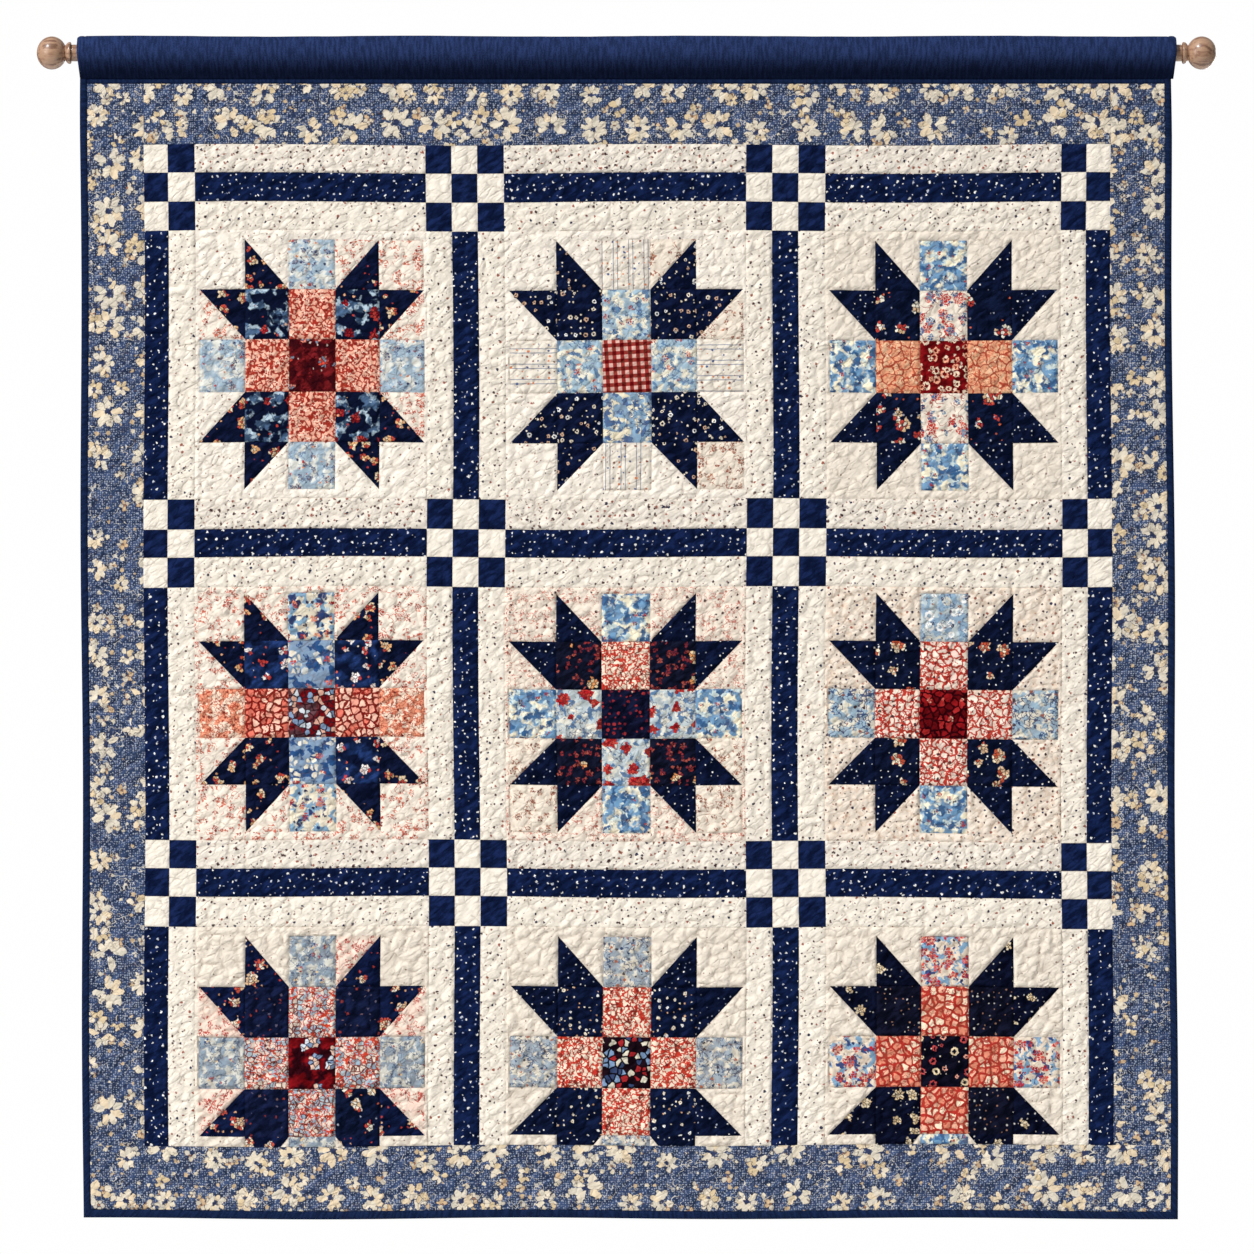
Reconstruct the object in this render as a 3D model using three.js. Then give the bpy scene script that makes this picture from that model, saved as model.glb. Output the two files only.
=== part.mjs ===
// A patchwork wall hanging on a wooden pole with ball finials.
// Millimetres, +Z up, +X to the right as it is looked at, and the patchwork faces -Y.
// The origin is the middle of the pole's axis.
import * as THREE from 'three';

// Driving dimensions
const gap = 0.3; // between neighbouring pieces
const quiltTop = -27; // where the sleeve is sewn to the quilt
const quiltBottom = -1212;
const seamThickness = 3; // the quilt is pressed thin at a seam
const puffThickness = 5; // and is full between the seams
const puffReach = 9; // from the seam to the full thickness
const bindingThickness = 5.6;
const waveDepth = 3.2; // how far the lower edge waves to the front and back
// Two waves make up the hang; lean turns the second one as it goes down
const broadWave = { share: 0.62, length: 118, start: 0.6 };
const narrowWave = { share: 0.38, length: 53, start: 2.1, lean: 260 };
const edgeWaver = 0.9; // how far a seam wanders in the cloth's plane
const waverFade = 60; // below the sleeve, before a seam wanders fully
const uprightWaver = { length: 83, lean: 310 };
const levelWaver = { length: 71, lean: 270, start: 1.3 };

const poleRadius = 15;
const sleeveCloth = 1.8;
const sleeveEnd = 571; // from the middle of the pole
const sleeveEndSlope = 4; // the ends slope in towards the quilt's edges
const sleeveHem = 7.8;
const sleeveHemRise = 0.5;
const sleeveSlack = 0.9; // ripple of the loose cloth over the pole
const sleeveRipple = 47; // along the pole
const sleeveFootHalf = 2.6; // the closed foot of the tube, from its middle to its front
const sleevePocket = { rise: 3.2, half: 0.6 }; // where the hollow of the tube comes to its lower end
const sleevePitch = 104;
const sleeveArcSteps = 9;

const neckRadius = 8.7;
const finialSeat = 560; // the pole's end, hidden inside the sleeve
const finialTip = 613.5;
const ballRadius = 17.2;
const ballLength = 31.2; // the ball is slightly flattened along the pole
const ringRise = 2.7; // of the bell-shaped ring over the neck
const ringLength = 6.4;
const neckHollow = 0.7; // cut in behind the ring
const ballNeck = 0.8; // how much thinner the wood is where the ball starts
const poleSides = 32;
const finialSides = 28;

// Upright seams from left to right: where each one meets the top and the bottom of the quilt
const columns = [
  { name: 'outerLeft', top: -568.6, bottom: -565.4 },
  { name: 'bindingLeft', top: -560.8, bottom: -557.6 },
  { name: 'patchLeft', top: -502.0, bottom: -501.0 },
  { name: 'block1Left', top: -449.0, bottom: -447.9 },
  { name: 'block1Right', top: -208.7, bottom: -205.6 },
  { name: 'block2Left', top: -127.1, bottom: -124.5 },
  { name: 'block2Right', top: 125.1, bottom: 123.0 },
  { name: 'block3Left', top: 207.3, bottom: 206.2 },
  { name: 'block3Right', top: 451.7, bottom: 452.7 },
  { name: 'patchRight', top: 502.6, bottom: 505.8 },
  { name: 'bindingRight', top: 558.8, bottom: 565.5 },
  { name: 'outerRight', top: 566.1, bottom: 573.4 },
];

// Level seams from the top down: where each one meets the left and the right edge
const rows = [
  { name: 'outerTop', left: -27.0, right: -27.0 },
  { name: 'bindingTop', left: -32.2, right: -32.2 },
  { name: 'patchTop', left: -95.7, right: -95.7 },
  { name: 'block1Top', left: -185.1, right: -185.1 },
  { name: 'block1Bottom', left: -463.8, right: -463.8 },
  { name: 'block2Top', left: -555.4, right: -555.4 },
  { name: 'block2Bottom', left: -817.4, right: -821.1 },
  { name: 'block3Top', left: -907.9, right: -910.5 },
  { name: 'patchBottom', left: -1137.2, right: -1134.6 },
  { name: 'bindingBottom', left: -1203.3, right: -1203.8 },
  { name: 'outerBottom', left: -1212.1, right: -1212.1 },
];

const columnNamed = Object.fromEntries(columns.map((column) => [column.name, column]));
const rowNamed = Object.fromEntries(rows.map((row) => [row.name, row]));

// Cloth and wood
const cloth = (colour) => new THREE.MeshStandardMaterial({ color: colour, roughness: 0.92, metalness: 0 });
const creamPatchwork = cloth(0xe4dacb);
const sashCloth = cloth(0x8b8c95);
const cornerstoneCloth = cloth(0x767a88);
const borderCloth = cloth(0x7a7d89);
const bindingCloth = cloth(0x1c2a4c);
const sleeveClothNavy = cloth(0x16223f);
const poleWood = new THREE.MeshStandardMaterial({ color: 0xa07c5f, roughness: 0.5, metalness: 0 });
const turnedWood = new THREE.MeshStandardMaterial({ color: 0x95705a, roughness: 0.35, metalness: 0 });

const { lerp, clamp, inverseLerp } = THREE.MathUtils;

// How the cloth hangs: flat under the sleeve, and waving gently towards its lower edge
function hang(x, z) {
  const drop = clamp(inverseLerp(quiltTop, quiltBottom, z), 0, 1);
  const broad = broadWave.share * Math.sin(x / broadWave.length + broadWave.start);
  const narrow = narrowWave.share * Math.sin(x / narrowWave.length + narrowWave.start + z / narrowWave.lean);
  return waveDepth * drop * (broad + narrow);
}

// A point of the cloth's plane with the small wander that hand-sewn seams have
function waver(x, z) {
  const fade = clamp((quiltTop - z) / waverFade, 0, 1);
  return [
    x + edgeWaver * fade * Math.sin(z / uprightWaver.length + x / uprightWaver.lean),
    z + edgeWaver * fade * Math.sin(x / levelWaver.length + levelWaver.start + z / levelWaver.lean),
  ];
}

// Where an upright seam and a level seam cross
function crossing(column, row) {
  const across = inverseLerp(columnNamed.outerLeft.top, columnNamed.outerRight.top, column.top);
  const z = lerp(row.left, row.right, across);
  const down = inverseLerp(quiltTop, quiltBottom, z);
  return [lerp(column.top, column.bottom, down), z];
}

// Grid lines across a piece: one at each seam, one where the puff is full, and even ones between
function stations(length, pitch) {
  const inner = Math.max(1, Math.round((length - 2 * puffReach) / pitch));
  const middle = Array.from({ length: inner + 1 }, (_, i) => lerp(puffReach, length - puffReach, i / inner));
  return [0, ...middle, length].map((place) => place / length);
}

// Moves every point of a geometry; the mapping keeps its faces pointing out
function reshape(geometry, move) {
  const points = geometry.attributes.position;
  for (let i = 0; i < points.count; i += 1) {
    points.setXYZ(i, ...move(points.getX(i), points.getY(i), points.getZ(i)));
  }
  geometry.computeVertexNormals();
  return geometry;
}

// A quilted piece that fills the cloth between two upright and two level seams
function quiltedPiece({ left, right, top, bottom }, pitch) {
  const corners = [
    crossing(columnNamed[left], rowNamed[bottom]),
    crossing(columnNamed[right], rowNamed[bottom]),
    crossing(columnNamed[left], rowNamed[top]),
    crossing(columnNamed[right], rowNamed[top]),
  ];
  const width = corners[1][0] - corners[0][0];
  const height = corners[2][1] - corners[0][1];
  const across = stations(width, pitch);
  const up = stations(height, pitch);
  const box = new THREE.BoxGeometry(1, 1, 1, across.length - 1, 1, up.length - 1);
  return reshape(box, (bx, by, bz) => {
    const u = across[Math.round((bx + 0.5) * (across.length - 1))];
    const v = up[Math.round((bz + 0.5) * (up.length - 1))];
    const rim = u === 0 || u === 1 || v === 0 || v === 1;
    const inU = lerp(gap / 2 / width, 1 - gap / 2 / width, u);
    const inV = lerp(gap / 2 / height, 1 - gap / 2 / height, v);
    const [x, z] = [0, 1].map((axis) =>
      lerp(lerp(corners[0][axis], corners[1][axis], inU), lerp(corners[2][axis], corners[3][axis], inU), inV));
    const thickness = rim ? seamThickness : puffThickness;
    const [wx, wz] = waver(x, z);
    return [wx, hang(x, z) + Math.sign(by) * thickness / 2, wz];
  });
}

// A length of binding: a strip folded over the edge, rounded, with its ends cut to a mitre
const bindingSide = 0.8; // of the full thickness, at a long side
const foldedSide = 0.45; // the fold is rounder than the sewn side
function bindingStrip(outer, inner, ridges) {
  const box = new THREE.BoxGeometry(1, 1, 1, 2, 2, ridges);
  return reshape(box, (bx, by, bz) => {
    const along = bz + 0.5;
    const over = bx + 0.5;
    const [ox, oz] = outer.map((ends) => lerp(ends[0], ends[1], along));
    const [ix, iz] = inner.map((ends) => lerp(ends[0], ends[1], along));
    const [x, z] = [lerp(ox, ix, over), lerp(oz, iz, over)];
    const roundness = bx < 0 ? foldedSide : 1;
    const bulge = bx === 0 ? 1 : bindingSide * roundness;
    const [wx, wz] = waver(x, z);
    return [wx, hang(x, z) + by * bindingThickness * bulge, wz];
  });
}

const hanging = new THREE.Group();

function add(name, geometry, material) {
  const mesh = new THREE.Mesh(geometry, material);
  mesh.name = name;
  hanging.add(mesh);
  return mesh;
}

// Patchwork: three rows of three star blocks, the sashes between them and the cornerstones
const blockPitch = 52;
const sashPitch = 62;
const cornerPitch = 36;
const sashAcross = [
  { top: 'patchTop', bottom: 'block1Top' },
  { top: 'block1Bottom', bottom: 'block2Top' },
  { top: 'block2Bottom', bottom: 'block3Top' },
];
const blockRows = [
  { top: 'block1Top', bottom: 'block1Bottom' },
  { top: 'block2Top', bottom: 'block2Bottom' },
  { top: 'block3Top', bottom: 'patchBottom' },
];
const blockColumns = [
  { left: 'block1Left', right: 'block1Right' },
  { left: 'block2Left', right: 'block2Right' },
  { left: 'block3Left', right: 'block3Right' },
];
const sashColumns = [
  { left: 'patchLeft', right: 'block1Left' },
  { left: 'block1Right', right: 'block2Left' },
  { left: 'block2Right', right: 'block3Left' },
  { left: 'block3Right', right: 'patchRight' },
];

blockRows.forEach((rowSpan, r) => {
  blockColumns.forEach((columnSpan, c) => {
    const place = `r${r + 1}c${c + 1}`;
    add(`star_block_${place}`, quiltedPiece({ ...columnSpan, ...rowSpan }, blockPitch), creamPatchwork);
    add(`sash_across_${place}`, quiltedPiece({ ...columnSpan, ...sashAcross[r] }, sashPitch), sashCloth);
  });
  sashColumns.forEach((columnSpan, c) => {
    const place = `r${r + 1}c${c + 1}`;
    add(`sash_down_${place}`, quiltedPiece({ ...columnSpan, ...rowSpan }, sashPitch), sashCloth);
    const corner = quiltedPiece({ ...columnSpan, ...sashAcross[r] }, cornerPitch);
    add(`cornerstone_${place}`, corner, cornerstoneCloth);
  });
});

// Border: the side strips run up past the top one, and the bottom strip runs right across
const borderPitch = 56;
const borderSpans = [
  { name: 'top', left: 'patchLeft', right: 'patchRight', top: 'bindingTop', bottom: 'patchTop' },
  { name: 'left', left: 'bindingLeft', right: 'patchLeft', top: 'bindingTop', bottom: 'patchBottom' },
  { name: 'right', left: 'patchRight', right: 'bindingRight', top: 'bindingTop', bottom: 'patchBottom' },
  { name: 'bottom', left: 'bindingLeft', right: 'bindingRight', top: 'patchBottom', bottom: 'bindingBottom' },
];
borderSpans.forEach(({ name, ...span }) => add(`border_${name}`, quiltedPiece(span, borderPitch), borderCloth));

// Binding, mitred at the two lower corners
const half = gap / 2;
const mitre = gap * 0.75;
const outerTopLeft = crossing(columnNamed.outerLeft, rowNamed.outerTop);
const outerTopRight = crossing(columnNamed.outerRight, rowNamed.outerTop);
const outerLowLeft = crossing(columnNamed.outerLeft, rowNamed.outerBottom);
const outerLowRight = crossing(columnNamed.outerRight, rowNamed.outerBottom);
const innerTopLeft = crossing(columnNamed.bindingLeft, rowNamed.outerTop);
const innerTopRight = crossing(columnNamed.bindingRight, rowNamed.outerTop);
const innerLowLeft = crossing(columnNamed.bindingLeft, rowNamed.bindingBottom);
const innerLowRight = crossing(columnNamed.bindingRight, rowNamed.bindingBottom);
const headLeft = crossing(columnNamed.bindingLeft, rowNamed.bindingTop);
const headRight = crossing(columnNamed.bindingRight, rowNamed.bindingTop);
const sideRidges = 22;

add('binding_left', bindingStrip(
  [[outerLowLeft[0], outerTopLeft[0]], [outerLowLeft[1] + mitre, outerTopLeft[1] - half]],
  [[innerLowLeft[0] - half, innerTopLeft[0] - half], [innerLowLeft[1] + mitre, innerTopLeft[1] - half]],
  sideRidges,
), bindingCloth);
add('binding_right', bindingStrip(
  [[outerTopRight[0], outerLowRight[0]], [outerTopRight[1] - half, outerLowRight[1] + mitre]],
  [[innerTopRight[0] + half, innerLowRight[0] + half], [innerTopRight[1] - half, innerLowRight[1] + mitre]],
  sideRidges,
), bindingCloth);
add('binding_bottom', bindingStrip(
  [[outerLowRight[0] - mitre, outerLowLeft[0] + mitre], [outerLowRight[1], outerLowLeft[1]]],
  [[innerLowRight[0] - mitre, innerLowLeft[0] + mitre], [innerLowRight[1] - half, innerLowLeft[1] - half]],
  sideRidges,
), bindingCloth);
add('binding_top', bindingStrip(
  [[innerTopLeft[0] + half, innerTopRight[0] - half], [innerTopLeft[1] - half, innerTopRight[1] - half]],
  [[headLeft[0] + half, headRight[0] - half], [headLeft[1] + half, headRight[1] + half]],
  sideRidges,
), bindingCloth);

// Rod sleeve: a loose tube of cloth over the pole, drawn together where it meets the quilt
function sleeveOutline(radius, foot, footHalf) {
  const turn = Math.acos(radius / Math.abs(foot));
  const front = -Math.PI / 2 - turn;
  const back = -Math.PI / 2 + turn;
  const outline = new THREE.Path();
  outline.moveTo(footHalf, foot);
  outline.lineTo(radius * Math.cos(back), radius * Math.sin(back));
  outline.absarc(0, 0, radius, back, front + 2 * Math.PI, false);
  outline.lineTo(-footHalf, foot);
  outline.closePath();
  return outline;
}

const sleeveInner = poleRadius + gap;
const sleeveOuter = sleeveInner + sleeveCloth;
const sleeveFoot = quiltTop + gap / 2;
const sleeveShape = new THREE.Shape(sleeveOutline(sleeveOuter, sleeveFoot, sleeveFootHalf).getPoints(sleeveArcSteps));
const pocketOutline = sleeveOutline(sleeveInner, sleeveFoot + sleevePocket.rise, sleevePocket.half);
sleeveShape.holes.push(new THREE.Path(pocketOutline.getPoints(sleeveArcSteps)));
const sleeveStations = stations(2 * sleeveEnd, sleevePitch).map((place) => (place - 0.5) * 2 * sleeveEnd);
sleeveStations[1] = -sleeveEnd + sleeveHem;
sleeveStations[sleeveStations.length - 2] = sleeveEnd - sleeveHem;
const sleeveTube = new THREE.ExtrudeGeometry(sleeveShape, {
  depth: sleeveStations.length - 1, steps: sleeveStations.length - 1, bevelEnabled: false,
});

// The outline is drawn in Y and Z and pushed along X; its ends slope in towards the quilt's edges
const sleeveTolerance = 1; // tells the outside from the foot, and a hem from the cloth between
add('rod_sleeve', reshape(sleeveTube, (y, z, station) => {
  const along = sleeveStations[Math.round(station)];
  const slope = sleeveEndSlope * clamp(inverseLerp(0, quiltTop, z), 0, 1);
  const x = along * (1 - slope / sleeveEnd);
  const reach = Math.hypot(y, z);
  const onOutside = z > sleeveFoot + sleeveTolerance && reach > sleeveInner + sleeveCloth / 3;
  const isHem = Math.abs(along) > sleeveEnd - sleeveHem - sleeveTolerance;
  const ripple = sleeveSlack * (0.5 + 0.5 * Math.sin(along / sleeveRipple));
  const rise = onOutside ? (isHem ? sleeveHemRise : ripple) : 0;
  return [x, y * (1 + rise / reach), z * (1 + (z > 0 ? rise / reach : 0))];
}), sleeveClothNavy);

// Pole
const poleRod = new THREE.CylinderGeometry(poleRadius, poleRadius, 2 * finialSeat, poleSides);
const pole = add('pole', poleRod, poleWood);
pole.rotation.z = Math.PI / 2;

// Bell-shaped ring: how far along it, and how far out from the neck in shares of its rise, then in mm
const ringOutline = [
  { along: 0.3, share: 0.8, less: 0 },
  { along: 1.3, share: 1, less: 0 },
  { along: 2.4, share: 1, less: 0.2 },
  { along: 3.9, share: 0.5, less: 0 },
  { along: 5.3, share: 0, less: 0.2 },
];
const ballSteps = 12;

// Finial: a turned neck, a bell-shaped ring that flares away from the ball, and the ball
function finialProfile() {
  const ballCentre = finialTip - finialSeat - ballLength / 2;
  const footRadius = neckRadius - ballNeck;
  const footAngle = Math.asin(footRadius / ballRadius);
  const ballFoot = ballCentre - ballLength / 2 * Math.cos(footAngle);
  const ringBack = ballFoot - ringLength;
  const profile = [
    [0, gap],
    [neckRadius, gap],
    [neckRadius, ringBack - neckHollow],
    [neckRadius - neckHollow, ringBack - neckHollow / 7],
    ...ringOutline.map(({ along, share, less }) => [neckRadius + ringRise * share - less, ringBack + along]),
  ];
  for (let i = 0; i < ballSteps; i += 1) {
    const angle = lerp(footAngle, Math.PI, i / ballSteps);
    profile.push([ballRadius * Math.sin(angle), ballCentre - ballLength / 2 * Math.cos(angle)]);
  }
  profile.push([0, ballCentre + ballLength / 2]);
  return profile.map(([radius, height]) => new THREE.Vector2(radius, height));
}

const poleEnds = [{ name: 'left', side: -1 }, { name: 'right', side: 1 }];
poleEnds.forEach(({ name, side }) => {
  const finial = add(`finial_${name}`, new THREE.LatheGeometry(finialProfile(), finialSides), turnedWood);
  finial.position.x = side * finialSeat;
  finial.rotation.z = -side * Math.PI / 2;
});

export default hanging;
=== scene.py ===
# A patchwork wall hanging on a wooden pole, dressed in its cloths for the picture
# The plans are in millimetres where nothing else is said, and every mesh is made in metres
import math

import bpy
import numpy as np
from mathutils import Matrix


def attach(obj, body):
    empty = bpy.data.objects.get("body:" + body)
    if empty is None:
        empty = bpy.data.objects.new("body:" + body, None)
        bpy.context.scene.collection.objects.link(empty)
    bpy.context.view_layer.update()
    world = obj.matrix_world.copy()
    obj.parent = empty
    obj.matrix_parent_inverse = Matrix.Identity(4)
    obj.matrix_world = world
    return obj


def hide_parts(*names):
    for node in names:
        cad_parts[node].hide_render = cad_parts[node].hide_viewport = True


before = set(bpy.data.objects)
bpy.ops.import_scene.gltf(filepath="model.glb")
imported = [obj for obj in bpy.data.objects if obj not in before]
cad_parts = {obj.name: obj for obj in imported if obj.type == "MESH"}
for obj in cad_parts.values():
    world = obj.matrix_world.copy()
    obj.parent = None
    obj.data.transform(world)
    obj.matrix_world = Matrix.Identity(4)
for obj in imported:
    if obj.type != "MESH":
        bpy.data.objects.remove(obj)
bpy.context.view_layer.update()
print("The packed model is loaded")

mm = 0.001
quarterTurn = math.pi / 2


# Camera, light and floor, in metres

studio = {
    "middle": (0.0003, -0.597),
    "distance": 8.0,
    "seen": 1.3042,  # the picture's width at the quilt
    "sensor": 36,
    "keyStrength": 3.08,
    "keySpread": 0.22,
    "keyFrom": (-0.50, -0.56, 0.72),
    "panels": {
        "side": {"power": 32.0, "size": 1.4, "place": (-2.5, -1.9, 0.45)},
        "behind": {"power": 50.0, "size": 1.8, "place": (1.9, 3.0, -0.3)},
    },
    "roomAbove": 0.40,
    "roomBelow": 0.06,
    "roomColour": (0.97, 0.985, 1.0, 1),
    "paperColour": (0.995, 0.995, 0.995, 1),  # what the camera sees behind the object
    "floorLevel": -1.95,
    "floorRadius": 3.6,
    "floorCorners": 96,
    "floorColour": (0.86, 0.86, 0.85, 1),
    "floorRoughness": 0.8,
}


def setCamera():
    lensBody = bpy.data.cameras.new("camera")
    lensBody.sensor_width = studio["sensor"]
    lensBody.lens = studio["sensor"] * studio["distance"] / studio["seen"]
    camera = bpy.data.objects.new("camera", lensBody)
    camera.location = (studio["middle"][0], -studio["distance"], studio["middle"][1])
    camera.rotation_euler = (quarterTurn, 0, 0)
    bpy.context.scene.collection.objects.link(camera)
    bpy.context.scene.camera = camera


def setLight():
    key = bpy.data.lights.new("key", "SUN")
    key.energy = studio["keyStrength"]
    key.angle = studio["keySpread"]
    lamp = bpy.data.objects.new("key", key)
    x, y, z = studio["keyFrom"]
    lamp.rotation_euler = (math.acos(z / math.hypot(x, y, z)), 0, math.atan2(y, x) + quarterTurn)
    bpy.context.scene.collection.objects.link(lamp)
    for name, plan in studio["panels"].items():
        soft = bpy.data.lights.new(name, "AREA")
        soft.energy = plan["power"]
        soft.size = plan["size"]
        panel = bpy.data.objects.new(name, soft)
        panel.location = plan["place"]
        panel.rotation_euler = (quarterTurn, 0, math.atan2(plan["place"][1], plan["place"][0]) + quarterTurn)
        bpy.context.scene.collection.objects.link(panel)


setCamera()
setLight()
bpy.context.scene.view_settings.view_transform = "Standard"


# Node maths

def layStops(ramp, stops):
    while len(ramp.elements) > 1:
        ramp.elements.remove(ramp.elements[-1])
    for index, (place, colour) in enumerate(stops):
        stop = ramp.elements[0] if index == 0 else ramp.elements.new(place)
        stop.position = place
        stop.color = colour


class Thread:
    # One output of a node; sums on threads add the Math nodes that work them out
    def __init__(self, tree, socket=None):
        self.tree = tree
        self.socket = socket

    def node(self, kind, settings, values, output=0):
        made = self.tree.nodes.new(kind)
        for name, setting in settings.items():
            if name == "stops":
                layStops(made.color_ramp, setting)
            else:
                setattr(made, name, setting)
        for name, value in values.items():
            if isinstance(value, Thread):
                self.tree.links.new(value.socket, made.inputs[name])
            else:
                made.inputs[name].default_value = value
        return Thread(self.tree, made.outputs[output]) if made.outputs else None

    def beside(self, output):
        return Thread(self.tree, self.socket.node.outputs[output])

    def maths(self, operation, *values):
        return self.node("ShaderNodeMath", {"operation": operation}, dict(enumerate((self, *values))))

    def vector(self, operation, other, output=0):
        return self.node("ShaderNodeVectorMath", {"operation": operation}, {0: self, 1: other}, output)

    def __add__(self, other):
        return self.maths("ADD", other)

    def __sub__(self, other):
        return self.maths("SUBTRACT", other)

    def __rsub__(self, other):
        return (self * -1).maths("ADD", other)

    def __mul__(self, other):
        return self.maths("MULTIPLY", other)

    def __truediv__(self, other):
        return self.maths("DIVIDE", other)

    def __pow__(self, other):
        return self.maths("POWER", other)

    __radd__ = __add__
    __rmul__ = __mul__

    def __abs__(self):
        return self.maths("ABSOLUTE")

    def __gt__(self, other):
        return self.maths("GREATER_THAN", other)

    def __lt__(self, other):
        return self.maths("LESS_THAN", other)

    def clipped(self):
        return self.node("ShaderNodeClamp", {}, {"Value": self})

    def edge(self, soft):
        # 0 below zero and 1 above it, over a soft step
        return (self / soft + 0.5).clipped()


def dye(red, green, blue):
    # A cloth's colour as a dyer's card gives it, from 0 to 255
    def linear(part):
        part = part / 255
        return part / 12.92 if part <= 0.04045 else ((part + 0.055) / 1.055) ** 2.4

    return (linear(red), linear(green), linear(blue), 1.0)


def inkOver(colour, ink, mask):
    return mask.node("ShaderNodeMix", {"data_type": "RGBA"}, {0: mask, 6: colour, 7: ink}, 2)


def pickInk(chance, inks):
    picked = dye(*inks[0])
    for index, ink in enumerate(inks[1:], 1):
        picked = inkOver(picked, dye(*ink), chance > index / len(inks))
    return picked


def between(chance, least, most):
    return chance * (most - least) + least


def grain(place, size, detail=1.0, output="Fac"):
    settings = {"noise_dimensions": "2D"}
    values = {"Vector": place, "Scale": 1 / size, "Detail": detail}
    return place.node("ShaderNodeTexNoise", settings, values, output)


def cellsOn(plane, pitch, spread, feature="F1"):
    # Scattered points a pitch apart, and how far each place lies from the nearest one or from its rim
    return plane.node("ShaderNodeTexVoronoi", {"voronoi_dimensions": "2D", "feature": feature},
                      {"Vector": plane, "Scale": 1 / pitch, "Randomness": spread})


def chancesOf(cell):
    # Three chances between 0 and 1, the same all over a cell
    return cell.node("ShaderNodeSeparateColor", {}, {0: cell.beside("Color")})


def sidesOf(place):
    return place.node("ShaderNodeSeparateXYZ", {}, {0: place})


def shaken(place, reach, size):
    # The print's plane shaken about, so that nothing in it is a true circle or line
    shake = grain(place, size, 1.0, "Color").vector("SUBTRACT", (0.5, 0.5, 0.5))
    return place.vector("ADD", shake.vector("MULTIPLY", (2 * reach, 2 * reach, 0)))


def shifted(place, seed):
    # Each seed prints from another part of the endless pattern
    return place.vector("ADD", (37.3 * seed + 11.1, 91.7 * seed + 5.3, 0))


def levelFor(share):
    # The height that this share of a cloudy grain lies above
    return 0.5 + (0.5 - share) * 0.42


# Kinds of print: each gives a layer, which is laid over the colour so far

inkEdge = 0.5  # over which an ink fades out


def dots(inks, pitch, size, keep=1.0, hole=0.0, ragged=0.3, spread=0.9, seed=0):
    def layer(place, colour):
        cell = cellsOn(shaken(shifted(place, seed), ragged, 2.4), pitch, spread)
        chance = chancesOf(cell)
        radius = between(chance, 0.55, 1.45) * size
        inside = (radius - cell * pitch).edge(inkEdge)
        if hole:
            inside = inside * (cell * pitch - radius * hole).edge(inkEdge)
        return inkOver(colour, pickInk(chance.beside(2), inks), inside * (chance.beside(1) < keep))

    return layer


def flowers(inks, heart, pitch, size, line, petals=5, keep=1.0, ragged=0.8, spread=0.85, lost=0.15, seed=0):
    # Round petals set about a heart; some petals are lost, as in a worn print
    def layer(place, colour):
        plane = shaken(shifted(place, seed), ragged, 4.5)
        cell = cellsOn(plane, pitch, spread)
        chance = chancesOf(cell)
        sides = sidesOf(plane.vector("SUBTRACT", cell.beside("Position")))
        reach = cell * pitch
        turn = sides.beside(1).maths("ARCTAN2", sides) / (2 * math.pi) + chance
        index = (turn * petals).maths("FLOOR")
        swing = (turn * petals - index - 0.5) * (2 * math.pi / petals)
        settings = {"noise_dimensions": "1D"}
        luck = chancesOf(index.node("ShaderNodeTexWhiteNoise", settings, {"W": index + chance * 37}, "Color"))
        radius = between(chance.beside(1), 0.75, 1.25) * size
        middle = radius * between(luck, 0.56, 0.68)
        long = radius * between(luck.beside(1), 0.34, 0.46)
        wide = radius * between(luck.beside(1), 0.64, 0.94) * (2.3 / petals)
        along = (reach * swing.maths("COSINE") - middle) / long
        across = reach * swing.maths("SINE") / wide
        petal = (1 - (along * along + across * across).maths("SQRT")) * (radius * 0.35)
        kept = chance.beside(2) < keep
        whole = kept * (luck.beside(2) > lost)
        colour = inkOver(colour, dye(*line), (petal + 0.55).edge(0.4) * whole)
        colour = inkOver(colour, pickInk(luck * 0.999, inks), petal.edge(inkEdge) * whole)
        return inkOver(colour, dye(*heart), (radius * 0.17 - reach).edge(0.6) * kept)

    return layer


def blotches(ink, size, share, soft=0.06, detail=2.0, ragged=0.0, strength=1.0, seed=0):
    def layer(place, colour):
        plane = shifted(place, seed)
        if ragged:
            plane = shaken(plane, ragged, size * 0.6)
        inside = (grain(plane, size, detail) - levelFor(share)).edge(soft)
        return inkOver(colour, dye(*ink), inside * strength)

    return layer


def vines(ink, size, width, share=1.0, strength=1.0, seed=0):
    # Lines that wander like the levels on a map, in some parts of the cloth only
    def layer(place, colour):
        plane = shifted(place, seed)
        line = (width - abs(grain(plane, size) - 0.5)).edge(width * 0.8)
        if share < 1:
            line = line * (grain(shifted(plane, 3), size * 2.4) - 0.5 - (0.5 - share) * 0.4).edge(0.05)
        return inkOver(colour, dye(*ink), line * strength)

    return layer


def pebbles(line, pitch, width, inks=None, ragged=1.0, seed=0):
    # Pebbles that fill the cloth, with a line of another colour between them
    def layer(place, colour):
        plane = shaken(shifted(place, seed), ragged, pitch * 0.7)
        cell = cellsOn(plane, pitch, 0.9)
        rim = cellsOn(plane, pitch, 0.9, "DISTANCE_TO_EDGE")
        ground = pickInk(chancesOf(cell), inks) if inks else colour
        return inkOver(ground, dye(*line), (width - rim * pitch).edge(inkEdge))

    return layer


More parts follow.
